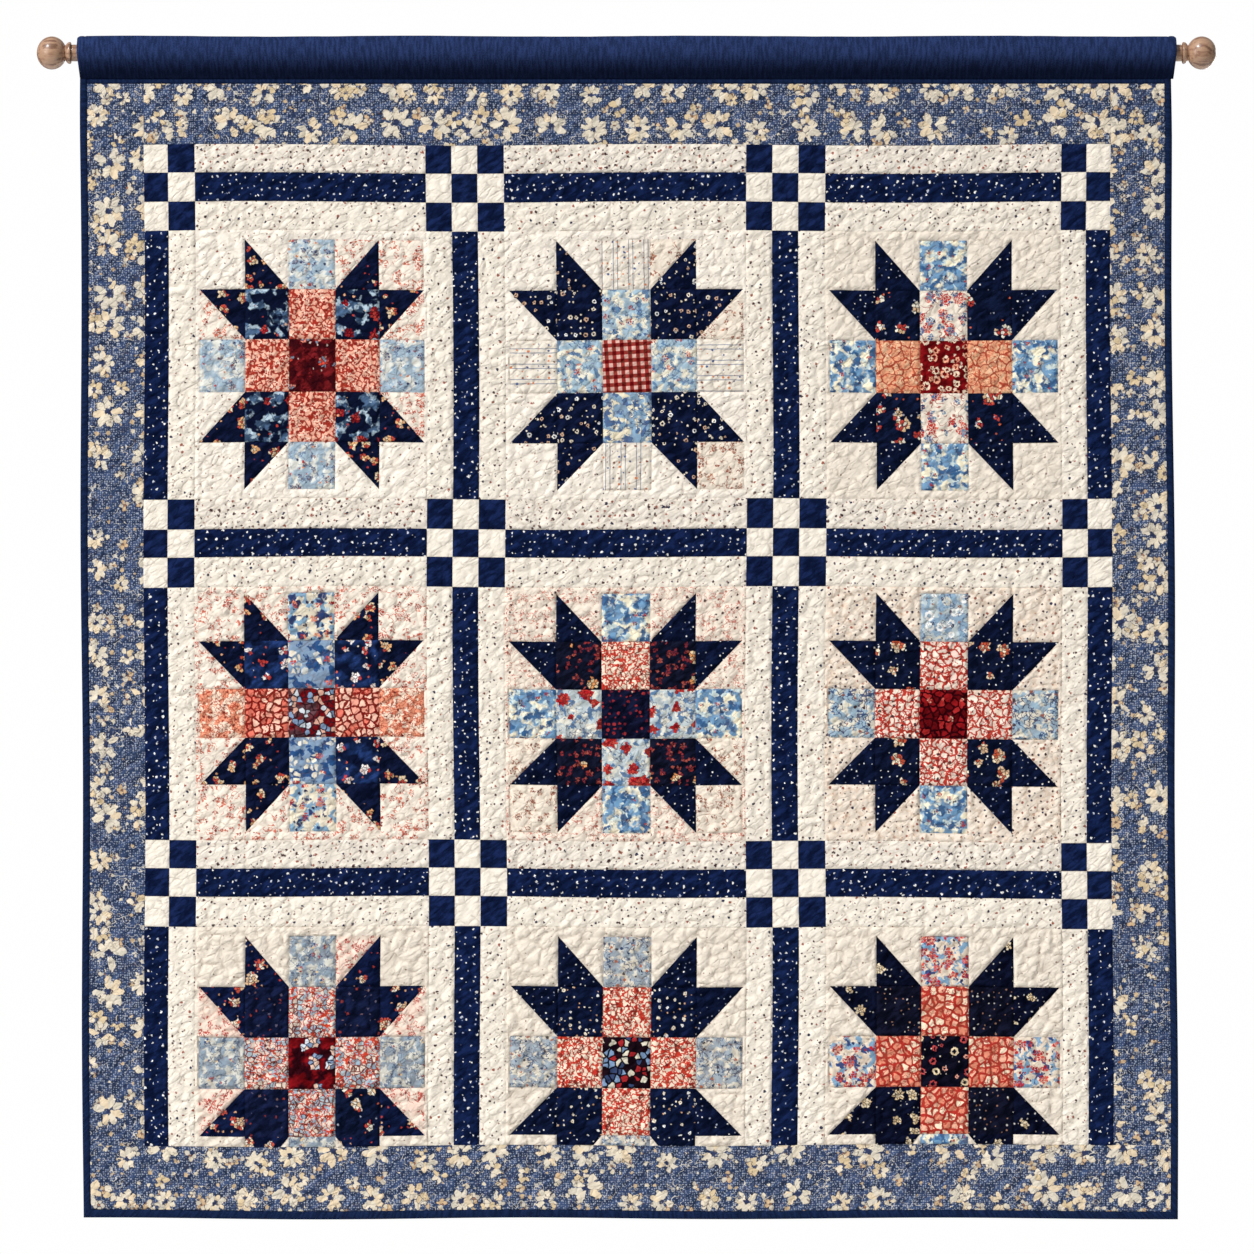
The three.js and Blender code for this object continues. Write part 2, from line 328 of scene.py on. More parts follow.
def sprays(inks, pitch, size, petal, keep=1.0, line=None, width=0.4, ragged=1.0, spread=0.8, seed=0):
    # Clusters of whole petals round scattered hearts
    def layer(place, colour):
        plane = shaken(shifted(place, seed), ragged, petal * 0.9)
        near = cellsOn(plane, petal, 1.0)
        rim = cellsOn(plane, petal, 1.0, "DISTANCE_TO_EDGE")
        heart = cellsOn(near.beside("Position"), pitch, spread)
        chance = chancesOf(heart)
        inside = (heart * pitch < between(chance, 0.65, 1.35) * size) * (chance.beside(1) < keep)
        if line:
            colour = inkOver(colour, dye(*line), inside * (rim * petal + 0.3).edge(0.4))
        return inkOver(colour, pickInk(chancesOf(near), inks), inside * (rim * petal - width).edge(inkEdge))

    return layer


def drifts(inks, line, pitch, width, size, share, ragged=1.2, seed=0):
    # Whole petals in loose drifts, each with its own outline
    def layer(place, colour):
        plane = shaken(shifted(place, seed), ragged, pitch * 0.8)
        cell = cellsOn(plane, pitch, 0.85)
        rim = cellsOn(plane, pitch, 0.85, "DISTANCE_TO_EDGE")
        inDrift = grain(shifted(cell.beside("Position"), 9), size) > levelFor(share)
        colour = inkOver(colour, dye(*line), inDrift * (rim * pitch + 0.2).edge(0.4))
        return inkOver(colour, pickInk(chancesOf(cell), inks), inDrift * (rim * pitch - width).edge(inkEdge))

    return layer


def gingham(ink, cross, check):
    def layer(place, colour):
        sides = sidesOf(place)
        bars = [((side / (2 * check)).maths("FRACT") - 0.5).edge(0.08) for side in (sides, sides.beside(1))]
        colour = inkOver(colour, dye(*ink), (bars[0] + bars[1]).clipped())
        return inkOver(colour, dye(*cross), bars[0] * bars[1])

    return layer


def stripes(ink, pitch, width, pair=0.0, strength=1.0):
    # Fine lines in pairs, drawn by hand
    def layer(place, colour):
        across = ((sidesOf(shaken(place, 0.4, 9.0)) / pitch).maths("FRACT") - 0.5) * pitch
        stripe = (width / 2 - abs(abs(across) - pair / 2)).edge(0.4)
        return inkOver(colour, dye(*ink), stripe * strength)

    return layer


# The quilter's stash: each cotton's ground, and the layers that are printed on it

speckBrown = (72, 52, 54)
speckNavy = (40, 46, 72)
rust = (150, 88, 74)
creamInk = (228, 214, 192)
whiteInk = (236, 234, 230)

cottons = {
    "creamPlain": {"ground": (240, 231, 217), "layers": []},
    "creamQuilt": {"ground": (232, 221, 206), "layers": [
        dots([(140, 116, 106)], pitch=9, size=0.7, keep=0.25, ragged=0.7, seed=2)]},
    "creamFaint": {"ground": (241, 232, 219), "layers": [
        dots([speckBrown, rust], pitch=9, size=0.9, keep=0.3, ragged=0.9, seed=1),
        dots([(150, 124, 110)], pitch=6.5, size=0.7, keep=0.35, ragged=0.7, seed=2)]},
    "creamSpeck": {"ground": (238, 229, 215), "layers": [
        dots([speckNavy, speckBrown, rust], pitch=8.6, size=1, keep=0.6, ragged=1, seed=1),
        dots([(140, 116, 106), speckBrown], pitch=6.5, size=0.75, keep=0.45, ragged=0.8, seed=2)]},
    "creamSash": {"ground": (234, 225, 212), "layers": [
        dots([speckNavy, speckBrown, speckBrown, rust], pitch=7.4, size=1.1, keep=0.66, ragged=1.8, seed=1),
        dots([(130, 104, 92), speckBrown, rust], pitch=6, size=0.85, keep=0.5, ragged=0.9, seed=2)]},
    "creamPepper": {"ground": (236, 222, 206), "layers": [
        dots([speckNavy, speckBrown, speckBrown, rust], pitch=6, size=1.05, keep=0.75, ragged=0.8, seed=3),
        blotches((214, 190, 168), size=7, share=0.3, strength=0.6)]},
    "creamVine": {"ground": (240, 228, 213), "layers": [
        vines((196, 104, 84), size=5.4, width=0.045, share=0.34),
        sprays([(184, 78, 64), (140, 60, 52), (204, 116, 94)], pitch=9.5, size=3.2, petal=2.4, keep=0.55,
               width=0.35, ragged=1.6, seed=4)]},
    "creamBlush": {"ground": (240, 222, 206), "layers": [
        blotches((234, 200, 184), size=14, share=0.45, strength=0.7, soft=0.2),
        vines((180, 76, 68), size=5.4, width=0.045, share=0.36),
        sprays([(172, 60, 56), (196, 96, 86)], pitch=9, size=3, petal=2.4, keep=0.5, width=0.35, ragged=1.6,
               seed=5)]},
    "beigeSprig": {"ground": (236, 223, 206), "layers": [
        vines((156, 92, 72), size=5.4, width=0.035, share=0.34, strength=0.9),
        sprays([(146, 76, 58), (116, 74, 60), (176, 118, 92)], pitch=10, size=3, petal=2.5, keep=0.55,
               width=0.35, ragged=1.6, seed=6)]},
    "rosyScribble": {"ground": (238, 224, 208), "layers": [
        vines((190, 104, 90), size=5, width=0.035, share=0.6, strength=0.85),
        dots([(150, 76, 66), speckBrown], pitch=7, size=1, keep=0.45, ragged=1.3, seed=83)]},
    "navyPlain": {"ground": (19, 31, 66), "layers": []},
    "navyPinDot": {"ground": (17, 29, 63), "layers": [
        dots([whiteInk, whiteInk, (190, 194, 208)], pitch=8.6, size=0.86, keep=0.72, ragged=1.4, seed=7),
        dots([(150, 158, 182), whiteInk], pitch=7.3, size=0.5, keep=0.36, ragged=0.8, seed=8)]},
    "pinNight": {"ground": (13, 21, 46), "layers": [
        dots([whiteInk, (160, 166, 186)], pitch=6.6, size=0.62, keep=0.6, ragged=0.5, seed=9)]},
    "nightBud": {"ground": (14, 21, 46), "layers": [
        sprays([(222, 168, 116), (184, 72, 56), (224, 200, 166)], pitch=17, size=4.2, petal=2.9, keep=0.62,
               width=0.25, seed=10),
        dots([(190, 140, 104), (160, 54, 46)], pitch=8, size=0.8, keep=0.25, ragged=0.9, seed=11)]},
    "nightBloom": {"ground": (15, 24, 54), "layers": [
        sprays([(230, 216, 196), (222, 184, 144), (190, 80, 60)], pitch=20, size=5.5, petal=2.9, keep=0.5,
               width=0.3, seed=70),
        dots([(176, 60, 46), (200, 150, 110)], pitch=7, size=0.9, keep=0.3, ragged=1.2, seed=71)]},
    "nightFew": {"ground": (18, 25, 52), "layers": [
        dots([(138, 52, 46), (120, 92, 92), (92, 84, 104)], pitch=6.4, size=1, keep=0.4, ragged=1.5,
             seed=72)]},
    "nightCluster": {"ground": (14, 22, 46), "layers": [
        sprays([(230, 222, 204), (214, 180, 140), (184, 64, 54)], pitch=22, size=5.5, petal=3.6, keep=0.75,
               width=0.35, ragged=1.4, seed=13),
        dots([(150, 154, 170), (206, 96, 60)], pitch=8, size=0.8, keep=0.35, ragged=0.8, seed=12)]},
    "nightPetal": {"ground": (18, 21, 38), "layers": [
        sprays([(138, 46, 46), (116, 40, 48), (164, 78, 66)], pitch=7.5, size=2.6, petal=2.7, keep=0.6,
               width=0.3, ragged=1.4, seed=14),
        sprays([(226, 200, 160), (222, 150, 92)], pitch=24, size=4.4, petal=3.2, keep=0.4, width=0.35,
               seed=15)]},
    "nightRing": {"ground": (14, 22, 48), "layers": [
        dots([creamInk, whiteInk, (206, 168, 140)], pitch=8.6, size=1.7, keep=0.44, hole=0.45, ragged=1.1,
             seed=16),
        dots([creamInk], pitch=6.4, size=0.75, keep=0.35, ragged=0.8, seed=17)]},
    "nightSeed": {"ground": (14, 23, 50), "layers": [
        dots([whiteInk, creamInk], pitch=8.6, size=1.35, keep=0.42, hole=0.25, ragged=1.2, seed=73),
        dots([creamInk, (206, 160, 120)], pitch=6.4, size=0.75, keep=0.3, ragged=0.9, seed=74)]},
    "nightFleck": {"ground": (16, 18, 34), "layers": [
        dots([(190, 186, 180), (150, 110, 90)], pitch=5.8, size=0.75, keep=0.55, ragged=0.7, seed=18)]},
    "nightSprig": {"ground": (12, 16, 36), "layers": [
        dots([(190, 186, 180)], pitch=6.4, size=0.65, keep=0.4, ragged=0.7, seed=18),
        sprays([(226, 208, 176), (206, 180, 140)], pitch=19, size=4.4, petal=2.9, keep=0.5, width=0.3,
               seed=19)]},
    "navyCluster": {"ground": (14, 21, 44), "layers": [
        dots([whiteInk], pitch=7, size=0.65, keep=0.45, ragged=0.6, seed=20),
        sprays([(234, 216, 186), (214, 178, 142), (190, 84, 56)], pitch=19, size=5.6, petal=3, keep=0.6,
               width=0.3, seed=21)]},
    "navyDaisy": {"ground": (29, 48, 92), "layers": [
        blotches((13, 21, 46), size=18, share=0.45, soft=0.16),
        sprays([(236, 230, 224), (236, 222, 214), (232, 206, 196), (192, 64, 56)], pitch=17, size=4.4,
               petal=3.3, keep=0.72, width=0.3, ragged=1.4, seed=22),
        dots([(200, 90, 70), creamInk], pitch=8, size=0.9, keep=0.25, ragged=1, seed=23)]},
    "blueRose": {"ground": (66, 89, 118), "layers": [
        blotches((176, 196, 210), size=9, share=0.42, soft=0.09, ragged=2.8, detail=3),
        blotches((12, 19, 42), size=17, share=0.56, soft=0.06, ragged=3.2, detail=3, seed=24),
        sprays([(150, 34, 40), (120, 22, 30), (176, 60, 54)], pitch=26, size=5, petal=3.2, keep=0.8,
               line=(60, 12, 20), width=0.35, spread=0.5, seed=25),
        dots([(216, 160, 120), (180, 60, 50)], pitch=10, size=1, keep=0.3, ragged=1, seed=84)]},
    "skyTiny": {"ground": (157, 179, 195), "layers": [
        blotches((217, 217, 209), size=12, share=0.44, soft=0.1, ragged=2.4),
        vines((89, 109, 137), size=7, width=0.022, share=0.5, strength=0.85),
        sprays([(77, 87, 119), (117, 87, 97), (54, 66, 104)], pitch=11, size=2.8, petal=2, keep=0.5,
               width=0.2, ragged=1.5, seed=75),
        dots([(44, 56, 92), (206, 130, 90), (170, 60, 56)], pitch=7.4, size=1, keep=0.4, ragged=1.2,
             seed=26)]},
    "skyMottle": {"ground": (138, 154, 168), "layers": [
        blotches((206, 204, 194), size=10, share=0.44, soft=0.09, ragged=2.6, detail=3),
        vines((70, 88, 116), size=5, width=0.04, share=0.55, strength=0.85),
        sprays([(214, 180, 130), (160, 64, 66), (60, 80, 120)], pitch=13, size=2.4, petal=2.4, keep=0.6,
               width=0.3, ragged=1.4, seed=27)]},
    "skyGrey": {"ground": (154, 166, 176), "layers": [
        blotches((216, 208, 192), size=9, share=0.42, soft=0.08, ragged=2.6, detail=3),
        vines((66, 84, 114), size=5, width=0.04, share=0.6, strength=0.9),
        dots([(62, 62, 70), (176, 100, 70), (50, 66, 98)], pitch=6.4, size=1.1, keep=0.5, ragged=1.4,
             seed=76)]},
    "skyBud": {"ground": (158, 184, 200), "layers": [
        blotches((228, 222, 202), size=11, share=0.45, soft=0.08, ragged=2.4),
        blotches((96, 128, 160), size=8, share=0.28, soft=0.06, ragged=2.6, detail=3, seed=85),
        vines((52, 76, 122), size=6.5, width=0.022, share=0.5, strength=0.85),
        sprays([(160, 52, 50), (60, 74, 120), (206, 130, 110)], pitch=14, size=2.8, petal=2.3, keep=0.75,
               width=0.25, ragged=1.2, seed=28)]},
    "skyLeaf": {"ground": (132, 164, 190), "layers": [
        blotches((234, 224, 196), size=12, share=0.42, soft=0.05, ragged=2.4),
        blotches((76, 104, 144), size=9, share=0.32, soft=0.05, ragged=2.8, detail=3, seed=86),
        vines((50, 70, 110), size=9, width=0.016, share=0.6, strength=0.9)]},
    "skyRose": {"ground": (184, 196, 200), "layers": [
        blotches((224, 220, 206), size=10, share=0.4, soft=0.08, ragged=2.4),
        blotches((94, 126, 162), size=8, share=0.32, soft=0.05, ragged=2.8, detail=3, seed=87),
        vines((68, 76, 100), size=7, width=0.025, share=0.5, strength=0.8),
        sprays([(184, 36, 38), (206, 70, 62), (150, 24, 34)], pitch=21, size=5.6, petal=3, keep=0.85,
               line=(96, 20, 30), width=0.3, ragged=1.4, seed=29)]},
    "skyCircle": {"ground": (137, 166, 190), "layers": [
        blotches((187, 198, 200), size=9, share=0.45, soft=0.1, ragged=2.4),
        dots([whiteInk, (211, 208, 196)], pitch=13, size=3.8, keep=0.75, hole=0.45, ragged=1.3, seed=30),
        vines((63, 72, 100), size=6, width=0.028, share=0.5, strength=0.8),
        dots([(44, 50, 84), (150, 96, 70)], pitch=9, size=1.3, keep=0.45, hole=0.3, ragged=1.2, seed=31)]},
    "skySwirl": {"ground": (148, 173, 190), "layers": [
        blotches((220, 213, 196), size=9, share=0.45, soft=0.07, ragged=2.4),
        vines((42, 62, 104), size=5.6, width=0.05, share=0.7, strength=0.92),
        dots([(56, 44, 56), (150, 90, 80)], pitch=9, size=1.5, keep=0.45, ragged=1.2, seed=77)]},
    "blueBlotch": {"ground": (108, 150, 186), "layers": [
        blotches((246, 236, 208), size=15, share=0.42, soft=0.08, ragged=2.6, detail=2.5),
        blotches((56, 94, 136), size=10, share=0.38, soft=0.1, ragged=2.8, detail=3, seed=32),
        blotches((196, 210, 208), size=7, share=0.24, soft=0.06, ragged=2.4, seed=88),
        sprays([(176, 50, 50), (60, 50, 80)], pitch=14, size=1.9, petal=2, keep=0.6, width=0.2, ragged=1.2,
               seed=33)]},
    "denimLeaf": {"ground": (126, 151, 178), "layers": [
        blotches((40, 76, 124), size=12, share=0.45, soft=0.05, ragged=2.8, detail=3),
        sprays([(232, 224, 202), (224, 215, 198), (204, 205, 200)], pitch=19, size=8, petal=6.6, keep=0.85,
               width=1.1, ragged=1.6, seed=34),
        sprays([(190, 62, 54), (214, 110, 96)], pitch=24, size=3, petal=2.8, keep=0.6, width=0.3,
               seed=35)]},
    "fadeFloral": {"ground": (230, 220, 198), "layers": [
        blotches((126, 160, 186), size=11, share=0.42, soft=0.06, ragged=2.8, detail=3),
        blotches((40, 58, 100), size=14, share=0.26, soft=0.05, ragged=3.2, detail=3, seed=36),
        sprays([(190, 60, 54), (222, 130, 96), (150, 36, 40)], pitch=15, size=3.4, petal=2.8, keep=0.6,
               width=0.3, ragged=1.4, seed=37),
        dots([(36, 46, 78)], pitch=8, size=1.3, keep=0.4, ragged=1.4, seed=78)]},
    "creamStripe": {"ground": (233, 224, 210), "layers": [
        stripes((116, 126, 146), pitch=16, width=0.9, pair=4.4, strength=0.9),
        dots([(130, 84, 70), (70, 92, 136), (206, 124, 76)], pitch=5.6, size=0.95, keep=0.5, ragged=0.7,
             spread=0.5, seed=38)]},
    "posy": {"ground": (226, 211, 192), "layers": [
        blotches((124, 160, 188), size=9, share=0.38, soft=0.05, ragged=2.8, detail=3),
        blotches((46, 72, 124), size=8, share=0.24, soft=0.04, ragged=2.6, detail=3, seed=79),
        sprays([(184, 40, 46), (206, 84, 72), (150, 30, 44)], pitch=14, size=4.8, petal=3, keep=0.8,
               width=0.25, ragged=1.6, seed=39),
        dots([(40, 50, 84), (150, 44, 44)], pitch=7, size=1.2, keep=0.35, ragged=1.2, seed=41)]},
    "coralScroll": {"ground": (240, 176, 152), "layers": [
        vines((156, 44, 34), size=6, width=0.095),
        vines((248, 212, 190), size=5, width=0.035, share=0.5, seed=42),
        dots([(140, 34, 30)], pitch=7, size=1.4, keep=0.45, ragged=1.4, seed=43)]},
    "peachCrackle": {"ground": (226, 156, 120), "layers": [
        blotches((234, 186, 148), size=9, share=0.4, soft=0.06, ragged=2.6),
        pebbles(line=(166, 66, 48), pitch=10.5, width=0.75, ragged=3.2),
        vines((170, 70, 50), size=4, width=0.04, share=0.6, strength=0.8, seed=80),
        dots([(200, 96, 66), (240, 204, 172)], pitch=5.2, size=0.9, keep=0.6, ragged=1, seed=44)]},
    "coralPebble": {"ground": (222, 134, 114), "layers": [
        pebbles(inks=[(240, 162, 142), (250, 200, 178), (222, 116, 98)], line=(120, 22, 20), pitch=7.4,
                width=1.05, ragged=2),
        vines((140, 30, 26), size=6, width=0.03, share=0.5, seed=89)]},
    "coralDense": {"ground": (228, 146, 116), "layers": [
        blotches((244, 218, 196), size=10, share=0.46, soft=0.06, ragged=2.8, detail=3),
        vines((160, 60, 42), size=4.2, width=0.05, strength=0.9),
        dots([(240, 220, 196), (110, 34, 32)], pitch=6.4, size=1.1, keep=0.5, ragged=1.2, seed=45)]},
    "coralPetal": {"ground": (204, 96, 84), "layers": [
        pebbles(inks=[(234, 174, 148), (242, 218, 190), (220, 136, 110)], line=(170, 48, 40), pitch=8,
                width=1.2, ragged=1.8),
        vines((164, 44, 38), size=5.5, width=0.04, share=0.55, strength=0.9, seed=81)]},
    "creamCoral": {"ground": (234, 222, 206), "layers": [
        vines((160, 92, 84), size=8, width=0.028, share=0.6),
        sprays([(192, 54, 50), (210, 96, 78), (178, 40, 44)], pitch=16, size=5.4, petal=3.2, keep=0.75,
               width=0.3, ragged=2, seed=47),
        sprays([(72, 106, 150), (110, 140, 164), (46, 60, 98)], pitch=12, size=3.6, petal=2.8, keep=0.75,
               width=0.25, ragged=1.6, seed=48)]},
    "redScribble": {"ground": (243, 222, 200), "layers": [
        vines((190, 54, 40), size=5.2, width=0.08),
        vines((120, 30, 30), size=8.5, width=0.03, share=0.6, seed=49),
        dots([(184, 44, 36)], pitch=7, size=1.5, keep=0.4, ragged=1.6, seed=90)]},
    "coralBranch": {"ground": (243, 226, 210), "layers": [
        pebbles(inks=[(245, 228, 212), (240, 216, 198), (230, 206, 192)], line=(176, 52, 42), pitch=8,
                width=0.95, ragged=3),
        vines((176, 46, 38), size=5, width=0.05, share=0.5, seed=50),
        dots([(64, 40, 48), (140, 30, 30)], pitch=6.4, size=1.2, keep=0.6, ragged=1.4, seed=51)]},
    "coralSky": {"ground": (228, 210, 196), "layers": [
        blotches((156, 176, 190), size=8, share=0.42, soft=0.05, ragged=2.4),
        vines((190, 60, 40), size=5.2, width=0.07),
        sprays([(170, 188, 196), (142, 164, 180), (222, 206, 190)], pitch=15, size=5.5, petal=5, keep=0.7,
               line=(120, 56, 52), width=0.7, seed=52),
        vines((90, 36, 40), size=7, width=0.024, share=0.6, seed=91)]},
    "maroonRose": {"ground": (104, 24, 28), "layers": [
        blotches((58, 12, 18), size=12, share=0.45, soft=0.1),
        vines((52, 8, 14), size=5.5, width=0.05, share=0.6, strength=0.8, seed=92),
        sprays([(206, 70, 54), (214, 130, 112), (120, 130, 150)], pitch=23, size=4.6, petal=2.9, keep=0.8,
               line=(60, 10, 16), width=0.3, spread=0.6, seed=53),
        dots([(200, 176, 168)], pitch=9, size=0.9, keep=0.3, ragged=1.2, seed=54)]},
    "redGingham": {"ground": (224, 178, 166), "layers": [
        gingham(ink=(146, 48, 44), cross=(92, 10, 14), check=4.1)]},
    "redOval": {"ground": (112, 14, 18), "layers": [
        dots([(238, 214, 186), (230, 160, 130)], pitch=9.5, size=3.1, keep=0.85, hole=0.5, ragged=1.8,
             spread=0.75, seed=55),
        dots([(232, 206, 184)], pitch=7, size=1.2, keep=0.5, ragged=1.4, seed=82)]},
    "redCell": {"ground": (110, 24, 26), "layers": [
        pebbles(inks=[(140, 22, 26), (168, 40, 40), (96, 12, 16)], line=(46, 4, 10), pitch=7.5, width=1,
                ragged=2),
        sprays([(226, 170, 150), (200, 90, 80)], pitch=20, size=2.4, petal=2.4, keep=0.6, width=0.3,
               seed=93)]},
    "redLily": {"ground": (110, 14, 20), "layers": [
        blotches((44, 8, 16), size=13, share=0.5, soft=0.12),
        sprays([(206, 214, 222), (234, 196, 174), (130, 150, 180)], pitch=19, size=5.5, petal=4.6,
               keep=0.75, line=(40, 40, 60), width=0.5, ragged=1.6, seed=56)]},
    "brookPebble": {"ground": (92, 60, 66), "layers": [
        blotches((116, 16, 20), size=34, share=0.5, soft=0.06),
        pebbles(line=(50, 24, 32), pitch=8, width=0.7, ragged=2),
        drifts(inks=[(206, 212, 218), (124, 146, 176), (210, 160, 140)], line=(44, 30, 40), pitch=5.6,
               width=0.6, size=9, share=0.48, seed=57)]},
    "inkSpeck": {"ground": (17, 20, 42), "layers": [
        dots([(150, 44, 46), (100, 28, 40)], pitch=5.6, size=1.2, keep=0.6, ragged=1, seed=58),
        dots([(200, 170, 150)], pitch=12, size=0.9, keep=0.3, seed=59)]},
    "budNight": {"ground": (26, 12, 20), "layers": [
        drifts(inks=[(122, 148, 182), (222, 214, 194), (160, 40, 44), (54, 68, 104)], line=(16, 10, 16),
               pitch=6.4, width=0.8, size=7, share=0.62, seed=60)]},
    "ringNight": {"ground": (14, 14, 28), "layers": [
        dots([(228, 206, 168), (214, 150, 130), (180, 70, 70)], pitch=11, size=3, keep=0.65, hole=0.5,
             ragged=1.6, spread=0.7, seed=61),
        dots([creamInk], pitch=7, size=0.5, keep=0.35, seed=62)]},
    "borderBloom": {"ground": (52, 66, 96), "layers": [
        dots([(158, 164, 178), (140, 149, 170)], pitch=2.35, size=0.64, keep=0.86, ragged=0.5, spread=0.6,
             seed=63),
        vines((40, 52, 84), size=16, width=0.02, share=0.5, strength=0.6, seed=96),
        vines((206, 198, 186), size=9, width=0.015, share=0.36, seed=94),
        dots([(212, 200, 178), (196, 170, 136)], pitch=12, size=1.7, keep=0.45, ragged=1.6, seed=64),
        flowers([(212, 199, 177), (204, 174, 138), (196, 187, 172)], heart=(150, 106, 80), pitch=24,
                size=5.4, petals=5, keep=0.5, line=(66, 62, 78), ragged=1.6, lost=0.25, seed=65),
        flowers([(222, 210, 189), (224, 204, 174), (212, 202, 185)], heart=(52, 60, 90), pitch=43, size=14,
                petals=8, keep=0.95, line=(66, 62, 76), ragged=2.4, spread=0.4, lost=0.16, seed=66),
        flowers([(222, 209, 188), (212, 190, 154)], heart=(74, 78, 104), pitch=36, size=8.5, petals=6,
                keep=0.5, line=(66, 60, 76), ragged=2.2, lost=0.25, seed=67),
        vines((84, 70, 74), size=6.5, width=0.012, share=0.4, strength=0.7, seed=95)]},
    "bindingNavy": {"ground": (20, 32, 60), "smooth": True, "layers": []},
    "sleeveNavy": {"ground": (33, 46, 81), "smooth": True, "layers": []},
    "backing": {"ground": (226, 217, 202), "layers": []},
}


# How the cottons take the light, the colours and depth of the painted shade in their creases and tucks, and
# how wide and high their tucks, weave and crinkles are

finish = {
    "gloss": 0.0,
    "roughness": 0.89,
    "weaveRoughness": 0.1,
    "darkBelow": 330,  # the three parts of a dark ground add up to less
    "black": (0, 0, 0, 1),
    "aged": (0.3, 0.22, 0.14, 1),
    # The colours of the painted shade in creases and tucks, on dark and on pale grounds
    "darkShade": (0.001, 0.001, 0.004, 1),
    "paleShade": (0.16, 0.09, 0.05, 1),
    "mottle": 0.10,
    "lightMottleAndSheen": 0.5,
    "darkMottle": 0.4,
    "lightStreak": 0.32,
    "darkStreak": 0.26,
    "creaseShade": 0.30,
    "slantWay": (0.82, 0.57),
    "slantStretch": 2.6,
    "tuckAcross": 7.5,
    "tuckFlank": 2.25,
    "tuckLine": 0.55,
    "tuckShade": 0.24,
    "tuckRise": 0.54,
    "weaveStretch": (2.3, 0.22),
    "weaveRise": 0.05,
    "crinkleAcross": 3.4,
    "crinkleSteep": 6,
    "crinkleRise": 0.22,
}


def newMaterial(name):
    # A material with no nodes yet, and the thread to start them from
    material = bpy.data.materials.new(name)
    material.use_nodes = True
    material.node_tree.nodes.clear()
    return material, Thread(material.node_tree)


def objectPlace(start):
    # A point's place on the object, in millimetres
    return start.node("ShaderNodeTexCoord", {}, {}, "Object").vector("MULTIPLY", (1000, 1000, 1000))


def shadeWith(start, values):
    shader = start.node("ShaderNodeBsdfPrincipled", {}, values)
    start.node("ShaderNodeOutputMaterial", {}, {"Surface": shader})


def slantPlane(start):
    # The front of the quilt, drawn out along the slant that its quilting follows
    whole = objectPlace(start)
    run, rise = finish["slantWay"]
    along = whole.vector("DOT_PRODUCT", (run, 0, rise), 1)
    over = whole.vector("DOT_PRODUCT", (-rise, 0, run), 1)
    return start.node("ShaderNodeCombineXYZ", {}, {"X": along / finish["slantStretch"], "Y": over})


def lighter(ground, gain, lift):
    return dye(*(part * gain + lift for part in ground))


def unprinted(ground, isSmooth, isDark, place, slant):
    # The ground before it is printed: streaked if it is smooth, or else clouded
    colour = dye(*ground)
    if isSmooth:
        streaks = grain(place.vector("MULTIPLY", (1, 0.16, 1)), 2.6, 2.0) * 0.6 + grain(place, 1.5, 2.0) * 0.4
        light, dark = (streaks - 0.52).edge(0.2), (0.48 - streaks).edge(0.2)
        colour = inkOver(colour, lighter(ground, 1.5, 6), light * finish["lightStreak"])
        return inkOver(colour, finish["black"], dark * finish["darkStreak"])
    cloudy = grain(shifted(slant, 5), 6.0, 3.0)
    if isDark:
        # On a dark ground the lighter clouds are partly uneven dye and partly painted sheen; the darker ones
        # are uneven dye
        light, dark = (cloudy - 0.55).edge(0.16), (0.47 - cloudy).edge(0.2)
        colour = inkOver(colour, lighter(ground, 1.3, 4), light * finish["lightMottleAndSheen"])
        return inkOver(colour, finish["black"], dark * finish["darkMottle"])
    return inkOver(colour, finish["aged"], (0.5 - cloudy).edge(0.4) * finish["mottle"])


